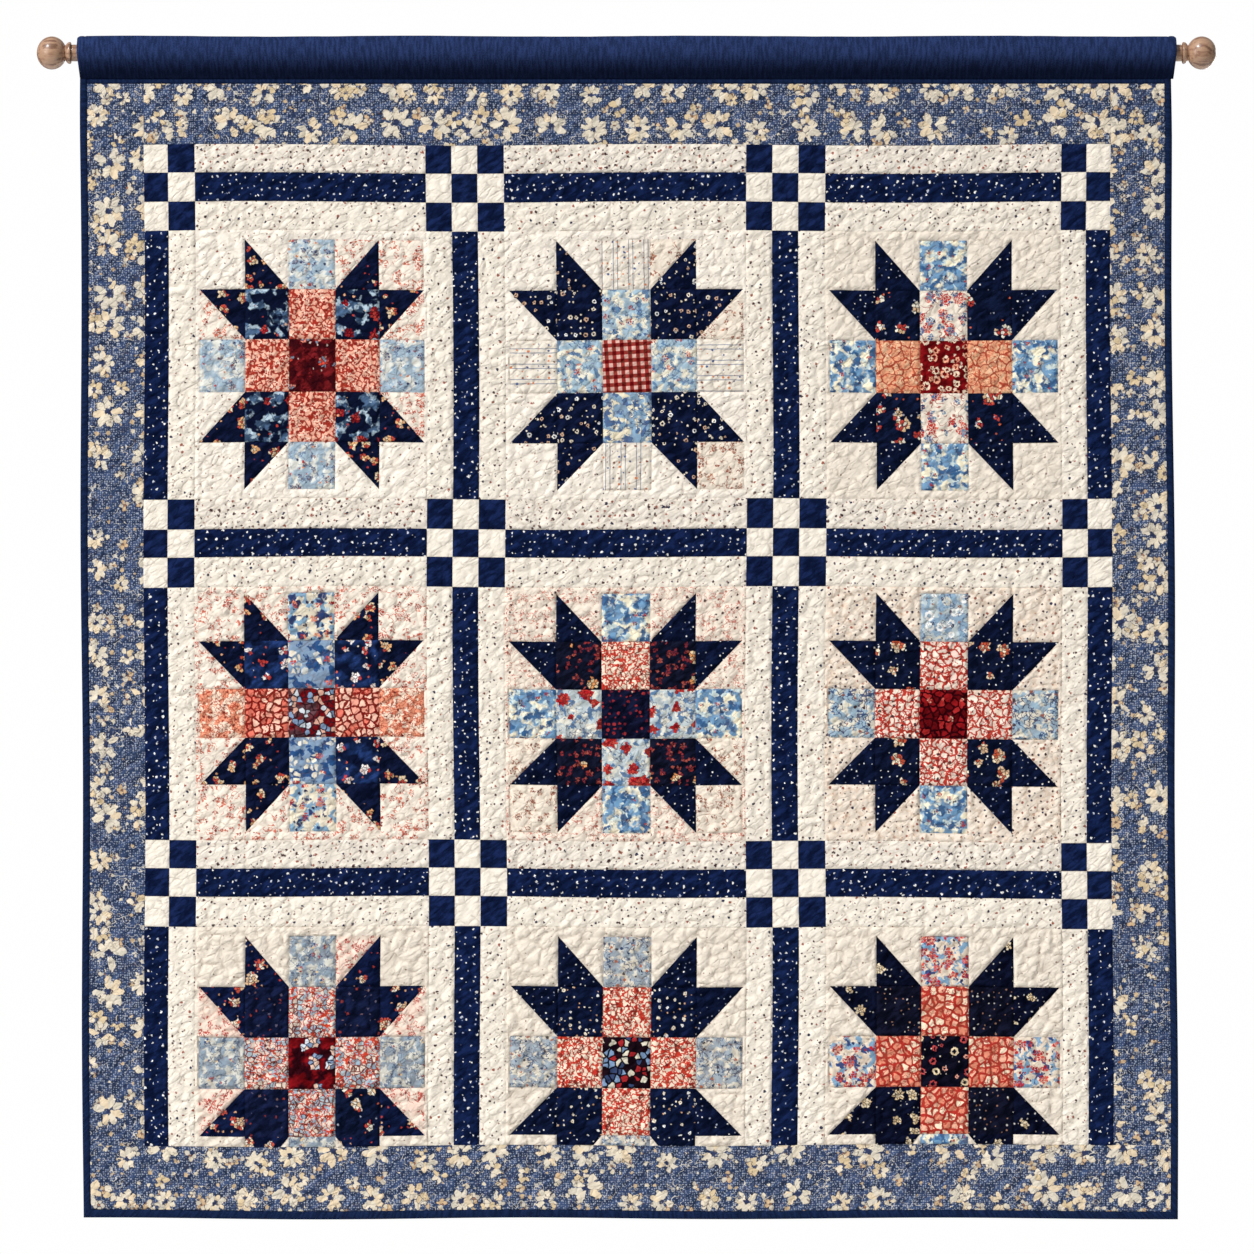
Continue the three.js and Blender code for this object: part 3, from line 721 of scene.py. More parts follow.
def madeCotton(name):
    # A quilting cotton: its print, the painted shade of its creases and tucks, its weave and its fine
    # crinkles
    plan = cottons[name]
    isSmooth = plan.get("smooth", False)
    isDark = sum(plan["ground"]) < finish["darkBelow"]
    material, start = newMaterial(name)
    place = start.node("ShaderNodeUVMap", {"uv_map": "Cloth"}, {})
    slant = slantPlane(start)
    colour = unprinted(plan["ground"], isSmooth, isDark, place, slant)
    for layer in plan["layers"]:
        colour = layer(place, colour)

    shadow = finish["darkShade" if isDark else "paleShade"]
    warpStretch, weftStretch = finish["weaveStretch"]
    warp = grain(place.vector("MULTIPLY", (warpStretch, weftStretch, 1)), 1.0)
    weft = grain(shifted(place, 2).vector("MULTIPLY", (weftStretch, warpStretch, 1)), 1.0)
    rise = (warp + weft) * finish["weaveRise"]
    if not isSmooth:
        # Small tucks round the stitches, between the puffs that are in the mesh, with painted shade along
        # their lines
        across = finish["tuckAcross"]
        plane = shaken(shifted(slant.vector("MULTIPLY", (1.5, 1, 1)), 8), 1.6, 5.0)
        tuck = cellsOn(plane, across, 0.95, "DISTANCE_TO_EDGE") * across
        strong = (grain(shifted(slant, 4), 9.0) - 0.47).edge(0.22)
        puff = 1 - (1 - (tuck / finish["tuckFlank"]).clipped()) ** 2
        crinkle = 1 - abs(grain(slant, finish["crinkleAcross"]) - 0.5) * finish["crinkleSteep"]
        tuckLine = (finish["tuckLine"] - tuck).edge(0.7)
        # Painted shade along each tuck's line, deeper where the tucks are strong
        colour = inkOver(colour, shadow, tuckLine * strong * finish["tuckShade"])
        rise = rise + crinkle.clipped() * finish["crinkleRise"]
        rise = rise + puff * between(strong, 0.3, 1.0) * finish["tuckRise"]
    # Painted shade: the colour goes towards the shadow colour where the mesh marks creases, seams, sewn edges
    # and the sleeve's underside
    paintedShade = start.node("ShaderNodeAttribute", {"attribute_name": "paintedShade"}, {}, "Fac")
    colour = inkOver(colour, shadow, paintedShade * paintedShade * finish["creaseShade"])
    shadeWith(start, {
        "Base Color": colour,
        "Roughness": warp * finish["weaveRoughness"] + finish["roughness"],
        "Normal": start.node("ShaderNodeBump", {}, {"Height": rise, "Distance": mm, "Strength": 1.0}),
        "Specular IOR Level": finish["gloss"],
    })
    return material


madeCottons = {}


def cotton(name):
    if name not in madeCottons:
        madeCottons[name] = madeCotton(name)
    return madeCottons[name]


# How the quilt hangs, the same in every piece

hangingPlan = {
    "top": -27.0,
    "bottom": -1212.0,
    "waveDepth": 3.2,
    "wideWave": {"share": 0.62, "length": 118, "start": 0.6},
    "shortWave": {"share": 0.38, "length": 53, "start": 2.1, "lean": 260},
    "waver": {"reach": 0.9, "fade": 60, "sideways": (83, 310), "upward": (71, 270), "start": 1.3},
    # Where each seam crosses the quilt, at its top and bottom or at its left and right
    "columns": {
        "outerLeft": (-568.6, -565.4), "bindingLeft": (-560.8, -557.6), "patchLeft": (-502.0, -501.0),
        "block1Left": (-449.0, -447.9), "block1Right": (-208.7, -205.6), "block2Left": (-127.1, -124.5),
        "block2Right": (125.1, 123.0), "block3Left": (207.3, 206.2), "block3Right": (451.7, 452.7),
        "patchRight": (502.6, 505.8), "bindingRight": (558.8, 565.5), "outerRight": (566.1, 573.4),
    },
    "rows": {
        "outerTop": (-27.0, -27.0), "bindingTop": (-32.2, -32.2), "patchTop": (-95.7, -95.7),
        "block1Top": (-185.1, -185.1), "block1Bottom": (-463.8, -463.8), "block2Top": (-555.4, -555.4),
        "block2Bottom": (-817.4, -821.1), "block3Top": (-907.9, -910.5), "patchBottom": (-1137.2, -1134.6),
        "bindingBottom": (-1203.3, -1203.8), "outerBottom": (-1212.1, -1212.1),
    },
}


def lerp(start, end, share):
    return start + (end - start) * share


def smoothStep(value):
    value = np.clip(value, 0, 1)
    return value * value * (3 - 2 * value)


def dropTo(z):
    return (hangingPlan["top"] - z) / (hangingPlan["top"] - hangingPlan["bottom"])


def hang(x, z):
    wide, short = hangingPlan["wideWave"], hangingPlan["shortWave"]
    wave = wide["share"] * np.sin(x / wide["length"] + wide["start"])
    wave = wave + short["share"] * np.sin(x / short["length"] + short["start"] + z / short["lean"])
    return hangingPlan["waveDepth"] * np.clip(dropTo(z), 0, 1) * wave


def hung(x, z, off):
    # Points of the hanging cloth, off its middle by so much; its seams waver a little in its plane
    waver = hangingPlan["waver"]
    reach = np.clip((hangingPlan["top"] - z) / waver["fade"], 0, 1) * waver["reach"]
    sideways = reach * np.sin(z / waver["sideways"][0] + x / waver["sideways"][1])
    upward = reach * np.sin(x / waver["upward"][0] + waver["start"] + z / waver["upward"][1])
    return np.stack([x + sideways, hang(x, z) + off, z + upward], -1)


def crossing(column, row):
    columns, rows = hangingPlan["columns"], hangingPlan["rows"]
    outerLeft, outerRight = columns["outerLeft"][0], columns["outerRight"][0]
    z = lerp(*rows[row], (columns[column][0] - outerLeft) / (outerRight - outerLeft))
    return lerp(*columns[column], dropTo(z)), z


# Quilting: small pillows between wandering lines of stitches

quilting = {
    "seed": 23,
    "slant": math.radians(33),
    "puffAcross": 14.0,
    "puffStretch": 1.35,
    "puffSteep": 0.62,
    "puffRound": 2.2,
    "puffLeast": 0.7,
    "puffMore": 0.45,
    "wander": 6.0,
    "wanderSize": 9.0,
    "rise": 3.3,
    "fineSize": 0.55,
    "fineShare": 0.22,
    "fineShift": (311, -173),
    "crinkle": 0.7,
    "crinkleSize": 4.6,
    "crinkleStretch": 2.6,
    "seamHalf": 1.5,
    "seamReach": 2.6,
    "seamLeast": 0.2,
    "edgeReach": 1.8,
    "edgeLeast": 0.62,
    # How the painted shade lies in the valleys between puffs and along seams and edges
    "creaseBelow": 0.7,
    "creaseReach": 1.8,
    "seamCrease": 0.8,
    "edgeCrease": 0.45,
    "backRise": 0.8,
    "backStep": 4,  # the back has one point for so many of the front
    "allowance": 0.013,  # what two seams take of a flat size, in metres
    "turnedIn": 0.003,
}

dice = np.random.default_rng(quilting["seed"])
tableSide = 128
puffTable = dice.random((tableSide, tableSide, 3))
wanderTable = dice.random((tableSide, tableSide, 4))


def wandering(a, b, size, layer):
    # Smooth random hills between 0 and 1
    a, b = a / size, b / size
    low, left = np.floor(a).astype(int), np.floor(b).astype(int)
    s, t = smoothStep(a - low), smoothStep(b - left)

    def corner(da, db):
        return wanderTable[(low + da) % tableSide, (left + db) % tableSide, layer]

    return lerp(lerp(corner(0, 0), corner(1, 0), s), lerp(corner(0, 1), corner(1, 1), s), t)


def slanted(x, z):
    turn = quilting["slant"]
    return x * math.cos(turn) + z * math.sin(turn), z * math.cos(turn) - x * math.sin(turn)


def pillows(x, z, across):
    # How full the quilt is at a point, from 0 on a line of stitches to 1 on top of a puff
    a, b = slanted(x, z)
    a = a / quilting["puffStretch"]
    stirA, stirB = (wandering(a, b, quilting["wanderSize"], layer) - 0.5 for layer in (0, 1))
    a, b = (a + quilting["wander"] * stirA) / across, (b + quilting["wander"] * stirB) / across
    low, left = np.floor(a).astype(int), np.floor(b).astype(int)
    nearest = np.full(x.shape, 9.0)
    second = np.full(x.shape, 9.0)
    size = np.zeros(x.shape)
    for da in (-1, 0, 1):
        for db in (-1, 0, 1):
            cell = puffTable[(low + da) % tableSide, (left + db) % tableSide]
            away = np.hypot(low + da + cell[..., 0] - a, left + db + cell[..., 1] - b)
            size = np.where(away < nearest, cell[..., 2], size)
            second = np.minimum(second, np.maximum(nearest, away))
            nearest = np.minimum(nearest, away)
    full = np.clip((second - nearest) / quilting["puffSteep"], 0, 1)
    return (1 - (1 - full) ** quilting["puffRound"]) * (quilting["puffLeast"] + quilting["puffMore"] * size)


def quiltRelief(x, z, edgeGap, seamGap, fullness):
    # Lift of the front, and how deep in a crease each point lies, which sets how much painted shade it gets
    shiftX, shiftZ = quilting["fineShift"]
    full = pillows(x, z, quilting["puffAcross"])
    fine = pillows(x + shiftX, z + shiftZ, quilting["puffAcross"] * quilting["fineSize"])
    a, b = slanted(x, z)
    ridge = 1 - np.abs(2 * wandering(a / quilting["crinkleStretch"], b, quilting["crinkleSize"], 2) - 1)
    held = lerp(quilting["seamLeast"], 1, smoothStep(seamGap / quilting["seamReach"]))
    held = held * lerp(quilting["edgeLeast"], 1, smoothStep(edgeGap / quilting["edgeReach"]))
    lift = quilting["rise"] * lerp(full, fine, quilting["fineShare"]) + quilting["crinkle"] * ridge
    paintedShade = np.clip(1 - full / quilting["creaseBelow"], 0, 1) * fullness
    for gap, depth in ((seamGap, quilting["seamCrease"]), (edgeGap, quilting["edgeCrease"])):
        paintedShade = np.maximum(paintedShade, np.clip(1 - gap / quilting["creaseReach"], 0, 1) * depth)
    return lift * fullness * held, paintedShade


def distanceToSeams(x, z, seams):
    nearest = np.full(x.shape, 99.0)
    for (x0, z0), (x1, z1) in seams:
        dx, dz = x1 - x0, z1 - z0
        share = np.clip(((x - x0) * dx + (z - z0) * dz) / (dx * dx + dz * dz), 0, 1)
        nearest = np.minimum(nearest, np.hypot(x - x0 - share * dx, z - z0 - share * dz))
    return nearest


# Patches: a cloth's name, or two names and the corner that holds the first of them, cut on the slant

def isCut(patch):
    return isinstance(patch, tuple)


def isFalling(patch):
    return patch[2] in ("lowLeft", "highRight")


def isSeam(patch, other, atFrame):
    if atFrame and (isCut(patch) or isCut(other)):
        return False
    return isCut(patch) or patch != other


def seamLines(patches, across, down, stepsAcross, stepsDown, onPlane):
    # Every seam in a piece, as pairs of points: its patches' sides and the slanting ones
    seams = [(onPlane(0, 0), onPlane(1, 0)), (onPlane(1, 0), onPlane(1, 1)),
             (onPlane(1, 1), onPlane(0, 1)), (onPlane(0, 1), onPlane(0, 0))]
    for r, line in enumerate(patches):
        for c, patch in enumerate(line):
            u0, u1, v0, v1 = across[c], across[c + 1], down[r], down[r + 1]
            if c + 1 < len(line) and isSeam(patch, line[c + 1], c in (0, len(line) - 2)):
                seams.append((onPlane(u1, v0), onPlane(u1, v1)))
            if r + 1 < len(patches) and isSeam(patch, patches[r + 1][c], r in (0, len(patches) - 2)):
                seams.append((onPlane(u0, v1), onPlane(u1, v1)))
            if isCut(patch):
                share = min(1, stepsDown[r] / stepsAcross[c])
                start, end = (u0, u1) if isFalling(patch) else (u1, u0)
                seams.append((onPlane(start, v0), onPlane(lerp(start, end, share), v1)))
    return seams


def stationsOf(shares, steps):
    parts = [np.linspace(shares[i], shares[i + 1], steps[i] + 1)[:-1] for i in range(len(steps))]
    return np.concatenate(parts + [np.array([shares[-1]])])


def stripOf(steps):
    return np.concatenate([np.full(count, index) for index, count in enumerate(steps)])


def everyFew(count):
    return np.unique(np.append(np.arange(0, count, quilting["backStep"]), count - 1))


def choose(piece):
    bpy.ops.object.select_all(action="DESELECT")
    piece.select_set(True)
    bpy.context.view_layer.objects.active = piece


def atCorners(faces, *values):
    # A value of each point, given again for every corner of a face
    corners = np.fromiter((point for face in faces for point in face), int)
    return np.stack([value[corners] for value in values], -1)


def makeMesh(name, points, faces, cloths, slots, clothPlaces, paintedShade):
    mesh = bpy.data.meshes.new(name)
    mesh.from_pydata((points * mm).tolist(), [], faces)
    for cloth in cloths:
        mesh.materials.append(cotton(cloth))
    mesh.polygons.foreach_set("material_index", slots)
    layer = mesh.uv_layers.new(name="Cloth")
    layer.data.foreach_set("uv", clothPlaces.astype(np.float32).ravel())
    # The painted shade of each point, which the cottons darken towards their shadow colour
    shade = mesh.attributes.new("paintedShade", "FLOAT", "POINT")
    shade.data.foreach_set("value", paintedShade.astype(np.float32))
    mesh.update()
    piece = bpy.data.objects.new(name, mesh)
    bpy.context.scene.collection.objects.link(piece)
    choose(piece)
    bpy.ops.object.shade_smooth_by_angle(angle=math.radians(55))
    return piece


# How far a patch may be turned and shifted on its cloth, in radians and in millimetres

clothTurns = (0.05, 1.52, 3.2, 4.68, 0.11, 1.6, 3.09, 4.77)
clothShift = 400


class Sewing:
    # The faces of a piece as they are laid, each with its cloth and with where it was cut from that cloth
    def __init__(self, name):
        self.faces = []
        self.slots = []
        self.cloths = []
        self.homes = []
        self.placings = [(0.0, 0.0, 0.0)]
        self.layout = np.random.default_rng(sum(ord(letter) for letter in name))

    def slotOf(self, cloth):
        if cloth not in self.cloths:
            self.cloths.append(cloth)
        return self.cloths.index(cloth)

    def lay(self, face, cut):
        slot, home = cut
        self.faces.append(face)
        self.slots.append(slot)
        self.homes.extend([home] * len(face))

    def cutFrom(self, cloth, stripesTurn):
        turn = clothTurns[self.layout.integers(len(clothTurns))]
        if cloth in ("creamStripe", "borderBloom"):
            turn = stripesTurn
        cut = (self.slotOf(cloth), len(self.placings))
        self.placings.append((turn, *self.layout.uniform(-clothShift, clothShift, 2)))
        return cut

    def clothPlaces(self, x, z):
        turn, shiftX, shiftZ = np.array(self.placings)[np.array(self.homes)].T
        x, z = atCorners(self.faces, x, z).T
        return np.stack([x * np.cos(turn) - z * np.sin(turn) + shiftX,
                         x * np.sin(turn) + z * np.cos(turn) + shiftZ], -1)


def layPatch(sewing, patch, cuts, rows, columns, wide):
    # A patch's faces in a grid so many points wide; the slant of a cut patch halves the faces it meets
    for q, j in enumerate(rows):
        for p, i in enumerate(columns):
            upperLeft = j * wide + i
            lowLeft = upperLeft + wide
            upperRight, lowRight = upperLeft + 1, lowLeft + 1
            square = (upperLeft, lowLeft, lowRight, upperRight)
            if not isCut(patch):
                sewing.lay(square, cuts[0])
                continue
            lowIsFirst = patch[2] in ("lowLeft", "lowRight")
            side = q - p if isFalling(patch) else p + q - (len(columns) - 1)
            if side != 0:
                sewing.lay(square, cuts[0] if (side > 0) == lowIsFirst else cuts[1])
                continue
            if isFalling(patch):
                halves = (upperLeft, lowLeft, lowRight), (upperLeft, lowRight, upperRight)
            else:
                halves = (lowLeft, lowRight, upperRight), (lowLeft, upperRight, upperLeft)
            sewing.lay(halves[0], cuts[0] if lowIsFirst else cuts[1])
            sewing.lay(halves[1], cuts[1] if lowIsFirst else cuts[0])


def layFront(sewing, patches, stepsAcross, stepsDown, turned):
    startI, startJ = np.cumsum([0] + stepsAcross), np.cumsum([0] + stepsDown)
    for r, line in enumerate(patches):
        for c, patch in enumerate(line):
            isUpright = turned or (len(patches) > 3 and c in (1, 5))
            halves = patch[:2] if isCut(patch) else (patch, patch)
            cuts = [sewing.cutFrom(half, quarterTurn if isUpright else 0.0) for half in halves]
            rows, columns = range(startJ[r], startJ[r + 1]), range(startI[c], startI[c + 1])
            layPatch(sewing, patch, cuts, rows, columns, sum(stepsAcross) + 1)


def layBackAndRim(sewing, patches, stepsAcross, stepsDown, backI, backJ):
    # The backing, and the narrow faces that close the piece all round
    columnOf, rowOf = stripOf(stepsAcross), stripOf(stepsDown)
    countAcross, countDown = sum(stepsAcross) + 1, sum(stepsDown) + 1
    first, wide = countAcross * countDown, len(backI)
    backing = (sewing.slotOf("backing"), 0)
    for j in range(len(backJ) - 1):
        for i in range(wide - 1):
            a = first + j * wide + i
            sewing.lay((a, a + 1, a + wide + 1, a + wide), backing)

    def layRim(frontRun, backEnds, patch):
        cloth = patch[1] if isCut(patch) else patch
        sewing.lay([*frontRun, *backEnds], (sewing.slotOf(cloth), 0))

    lowLine = (countDown - 1) * countAcross
    lowBack = first + (len(backJ) - 1) * wide
    for k, (i0, i1) in enumerate(zip(backI, backI[1:])):
        layRim(range(i0, i1 + 1), (first + k + 1, first + k), patches[0][columnOf[i0]])
        layRim(range(lowLine + i1, lowLine + i0 - 1, -1), (lowBack + k, lowBack + k + 1),
               patches[-1][columnOf[i0]])
    for k, (j0, j1) in enumerate(zip(backJ, backJ[1:])):
        upper, lower = first + k * wide, first + (k + 1) * wide
        layRim([j * countAcross for j in range(j1, j0 - 1, -1)], (upper, lower), patches[rowOf[j0]][0])
        layRim([(j + 1) * countAcross - 1 for j in range(j0, j1 + 1)], (lower + wide - 1, lower - 1),
               patches[rowOf[j0]][-1])


def quiltedPiece(name, span, across, down, stepsAcross, stepsDown, patches, fullness, turned=False):
    left, right, top, bottom = span
    highLeft, highRight = crossing(left, top), crossing(right, top)
    lowLeft, lowRight = crossing(left, bottom), crossing(right, bottom)

    def onPlane(u, v):
        return tuple(lerp(lerp(highLeft[k], highRight[k], u), lerp(lowLeft[k], lowRight[k], u), v)
                     for k in (0, 1))

    x, z = onPlane(*np.meshgrid(stationsOf(across, stepsAcross), stationsOf(down, stepsDown)))
    seams = seamLines(patches, across, down, stepsAcross, stepsDown, onPlane)
    edgeGap, seamGap = distanceToSeams(x, z, seams[:4]), distanceToSeams(x, z, seams[4:])
    lift, paintedShade = quiltRelief(x, z, edgeGap, seamGap, fullness)
    front = hung(x, z, -quilting["seamHalf"] - lift)

    backI, backJ = everyFew(x.shape[1]), everyFew(x.shape[0])
    backX, backZ = x[np.ix_(backJ, backI)], z[np.ix_(backJ, backI)]
    backLift = quilting["backRise"] * pillows(backX, backZ, quilting["puffAcross"]) * fullness
    inside = np.zeros(backX.shape)
    inside[1:-1, 1:-1] = 1
    back = hung(backX, backZ, quilting["seamHalf"] + backLift * inside)

    sewing = Sewing(name)
    layFront(sewing, patches, stepsAcross, stepsDown, turned)
    layBackAndRim(sewing, patches, stepsAcross, stepsDown, backI, backJ)
    clothPlaces = sewing.clothPlaces(np.append(x, backX), np.append(z, backZ))
    points = np.concatenate([front.reshape(-1, 3), back.reshape(-1, 3)])
    # Painted shade on the front only; the back has none
    shade = np.append(paintedShade, np.zeros(backX.size))
    piece = makeMesh(name + "_cloth", points, sewing.faces, sewing.cloths, sewing.slots, clothPlaces, shade)

    width, length = abs(highRight[0] - highLeft[0]) * mm, abs(lowLeft[1] - highLeft[1]) * mm
    allowance, turnedIn = quilting["allowance"], quilting["turnedIn"]
    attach(piece, "root")
    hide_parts(name)
    width + allowance
    length + allowance
    (width + turnedIn) * (length + turnedIn)


def evenSteps(start, end, shares, pitch):
    reach = abs(end - start)
    return [max(2, round(reach * (after - before) / pitch)) for before, after in zip(shares, shares[1:])]


# Star blocks

starPlan = {
    "steps": 27,  # of the mesh across and down a patch
    "frameSteps": {"across": 2, "down": 5},
    "across": [0, 0.016, 0.213, 0.402, 0.603, 0.793, 0.987, 1],
    "down": {
        1: [0, 0.034, 0.220, 0.407, 0.603, 0.790, 0.966, 1],
        2: [0, 0.024, 0.213, 0.402, 0.595, 0.780, 0.967, 1],
        3: [0, 0.041, 0.272, 0.502, 0.737, 0.954, 1],
    },
    "fullness": {1: 0.78, 2: 0.88, 3: 1.0},
}

# Each block's cloths; its scraps are the patches, by row and column, that break its scheme
starBlocks = {
    "r1c1": {"ground": "creamFaint", "point": "nightBud", "paw": "blueRose", "outer": "skyTiny",
             "inner": "coralScroll", "centre": "maroonRose",
             "scraps": {"creamVine": [(1, 4), (1, 5), (2, 1), (2, 5), (4, 5)]}},
    "r1c2": {"ground": "creamFaint", "point": "nightRing", "paw": "nightRing", "outer": "creamStripe",
             "inner": "skyBud", "centre": "redGingham",
             "scraps": {"beigeSprig": [(1, 4), (2, 5), (5, 5)], "skyLeaf": [(4, 3)]}},
    "r1c3": {"ground": "creamQuilt", "point": "pinNight", "paw": "nightCluster", "outer": "blueBlotch",
             "inner": "creamCoral", "innerAcross": "peachCrackle", "centre": "redOval", "scraps": {}},
    "r2c1": {"ground": "creamVine", "point": "nightBud", "paw": "navyDaisy", "outer": "fadeFloral",
             "outerAcross": "coralDense", "inner": "denimLeaf", "innerAcross": "coralPebble",
             "centre": "brookPebble", "scraps": {"nightBud": [(4, 2)]}},
    "r2c2": {"ground": "rosyScribble", "point": "pinNight", "paw": "nightPetal", "outer": "blueBlotch",
             "inner": "skyRose", "centre": "inkSpeck",
             "scraps": {"redScribble": [(2, 3)], "beigeSprig": [(4, 1), (4, 5), (5, 1), (5, 5)]}},
    "r2c3": {"ground": "creamPepper", "point": "pinNight", "paw": "navyCluster", "outer": "skyCircle",
             "outerAcross": "skySwirl", "inner": "coralBranch", "centre": "redCell",
             "scraps": {"blueBlotch": [(5, 3)]}},
    "r3c1": {"ground": "creamQuilt", "point": "nightBloom", "paw": "nightFew", "outer": "skyMottle",
             "inner": "coralSky", "centre": "redLily",
             "scraps": {"creamBlush": [(1, 4), (2, 1), (2, 5), (4, 1), (4, 5)], "nightCluster": [(4, 4)]}},
    "r3c2": {"ground": "creamQuilt", "point": "pinNight", "paw": "nightSeed", "outer": "skyGrey",
             "inner": "redScribble", "centre": "budNight", "scraps": {}},
    "r3c3": {"ground": "creamQuilt", "point": "nightSprig", "paw": "nightFleck", "outer": "posy",
             "inner": "coralPetal", "centre": "ringNight",
             "scraps": {"nightSprig": [(4, 2)], "blueBlotch": [(5, 3)]}},
}

pointCorners = {
    (1, 2): "lowLeft", (1, 4): "lowRight", (2, 1): "highRight", (2, 5): "highLeft",
    (4, 1): "lowRight", (4, 5): "lowLeft", (5, 2): "highLeft", (5, 4): "highRight",
}


def starPatch(cloths, r, c):
    scrap = next((cloth for cloth, places in cloths["scraps"].items() if (r, c) in places), None)
    if (r, c) in pointCorners:
        return (cloths["point"], scrap or cloths["ground"], pointCorners[(r, c)])
    if scrap:
        return scrap
    if (r, c) == (3, 3):
        return cloths["centre"]
    if r in (2, 4) and c in (2, 4):
        return cloths["paw"]
    if c == 3:
        return cloths["outer" if r in (1, 5) else "inner"]
    if r == 3:
        kind = "outer" if c in (1, 5) else "inner"
        return cloths.get(kind + "Across", cloths[kind])
    return cloths["ground"]


def starPatches(cloths, isWhole):
    # The block's own five rows of five patches, with a narrow frame of the ground round them
    frameLine = [[cloths["ground"]] * 7]
    table = [[cloths["ground"], *(starPatch(cloths, r, c) for c in range(1, 6)), cloths["ground"]]
             for r in range(1, 6)]
    return frameLine + table + (frameLine if isWhole else [])


def framed(kind, count):
    # The mesh steps of so many patches and of the frame on both sides of them
    ends = [starPlan["frameSteps"][kind]]
    return ends + [starPlan["steps"]] * count + ends


blockColumns = {c: (f"block{c}Left", f"block{c}Right") for c in (1, 2, 3)}
blockRows = {
    1: ("block1Top", "block1Bottom"),
    2: ("block2Top", "block2Bottom"),
    3: ("block3Top", "patchBottom"),
}

for r in (1, 2, 3):
    for c in (1, 2, 3):
        # The bottom blocks lose their last row of patches to the border
        isWhole = r < 3
        quiltedPiece(f"star_block_r{r}c{c}", blockColumns[c] + blockRows[r], starPlan["across"],
                     starPlan["down"][r], framed("across", 5), framed("down", 5 if isWhole else 4),
                     starPatches(starBlocks[f"r{r}c{c}"], isWhole), starPlan["fullness"][r])
print("The nine star blocks are pieced and quilted")


# Sashes and cornerstones

sashPlan = {
    "pitch": 2.0,
    "fullness": 0.8,
    "cornerFullness": 0.55,
    "acrossStrips": [["creamSash"], ["navyPinDot"], ["creamSpeck"]],
    "rows": {
        1: {"span": ("patchTop", "block1Top"), "shares": [0, 0.326, 0.663, 1]},
        2: {"span": ("block1Bottom", "block2Top"), "shares": [0, 0.341, 0.659, 1]},
        3: {"span": ("block2Bottom", "block3Top"), "shares": [0, 0.326, 0.651, 1]},
    },
    "columns": {
        1: {"span": ("patchLeft", "block1Left"), "shares": [0, 0.47, 1],
            "strips": ["navyPinDot", "creamSpeck"], "squares": ["creamPlain", "navyPlain"]},
        2: {"span": ("block1Right", "block2Left"), "shares": [0, 0.33, 0.66, 1],
            "strips": ["creamSpeck", "navyPinDot", "creamSpeck"], "squares": ["navyPlain", "creamPlain"]},
        3: {"span": ("block2Right", "block3Left"), "shares": [0, 0.33, 0.66, 1],
            "strips": ["creamSpeck", "navyPinDot", "creamSpeck"], "squares": ["navyPlain", "creamPlain"]},
        4: {"span": ("block3Right", "patchRight"), "shares": [0, 0.51, 1],
            "strips": ["creamSpeck", "navyPinDot"], "squares": ["navyPlain", "creamPlain"]},
    },
}


def checkerboard(squares, wide):
    return [[squares[(r + c) % 2] for c in range(wide)] for r in range(3)]


def gridPiece(name, span, across, down, pitch, patches, fullness, turned=False):
    # A piece that isn't a block: its mesh has one even pitch
    left, top = crossing(span[0], span[2])
    right, bottom = crossing(span[1], span[3])
    stepsAcross, stepsDown = evenSteps(left, right, across, pitch), evenSteps(top, bottom, down, pitch)
    quiltedPiece(name, span, across, down, stepsAcross, stepsDown, patches, fullness, turned)


for r, row in sashPlan["rows"].items():
    for c in (1, 2, 3):
        gridPiece(f"sash_across_r{r}c{c}", blockColumns[c] + row["span"], [0, 1], row["shares"],
                  sashPlan["pitch"], sashPlan["acrossStrips"], sashPlan["fullness"])
    for c, column in sashPlan["columns"].items():
        gridPiece(f"sash_down_r{r}c{c}", column["span"] + blockRows[r], column["shares"], [0, 1],
                  sashPlan["pitch"], [column["strips"]], sashPlan["fullness"])
        gridPiece(f"cornerstone_r{r}c{c}", column["span"] + row["span"], column["shares"], row["shares"],
                  sashPlan["pitch"], checkerboard(column["squares"], len(column["strips"])),
                  sashPlan["cornerFullness"])
print("The sashes and cornerstones are sewn between the blocks")


# Border

borderPlan = {
    "pitch": 2.3,
    "fullness": 0.55,
    "spans": {
        "top": ("patchLeft", "patchRight", "bindingTop", "patchTop"),
        "left": ("bindingLeft", "patchLeft", "bindingTop", "patchBottom"),
        "right": ("patchRight", "bindingRight", "bindingTop", "patchBottom"),
        "bottom": ("bindingLeft", "bindingRight", "patchBottom", "bindingBottom"),
    },
}

for side, span in borderPlan["spans"].items():
    gridPiece(f"border_{side}", span, [0, 1], [0, 1], borderPlan["pitch"], [["borderBloom"]],
              borderPlan["fullness"], turned=side in ("left", "right"))
print("The border is on")


# Binding: a strip folded over the quilt's edge

bindingPlan = {
    "half": 2.8,
    "pitch": 4.0,
    "over": [1.0, 0.97, 0.86, 0.7, 0.5, 0.34, 0.2, 0.1, 0.03, 0.0],  # stations from the quilt out to the fold
    "foldShare": 0.42,
    "foldRound": 2.2,
    "foldThin": 0.12,
    "pinchFrom": 0.62,
    "pinch": 0.45,
    "pinchRound": 2.6,
    "pucker": 0.18,
    "puckerSize": 7.0,
    "clothAcross": 9,
    # Where the painted shade starts across the binding, and how fast it deepens
    "creaseFrom": 0.9,
    "creaseSteep": 8,
    "takenUp": 2.5,
    "leastWidth": 0.0101,  # in metres
}


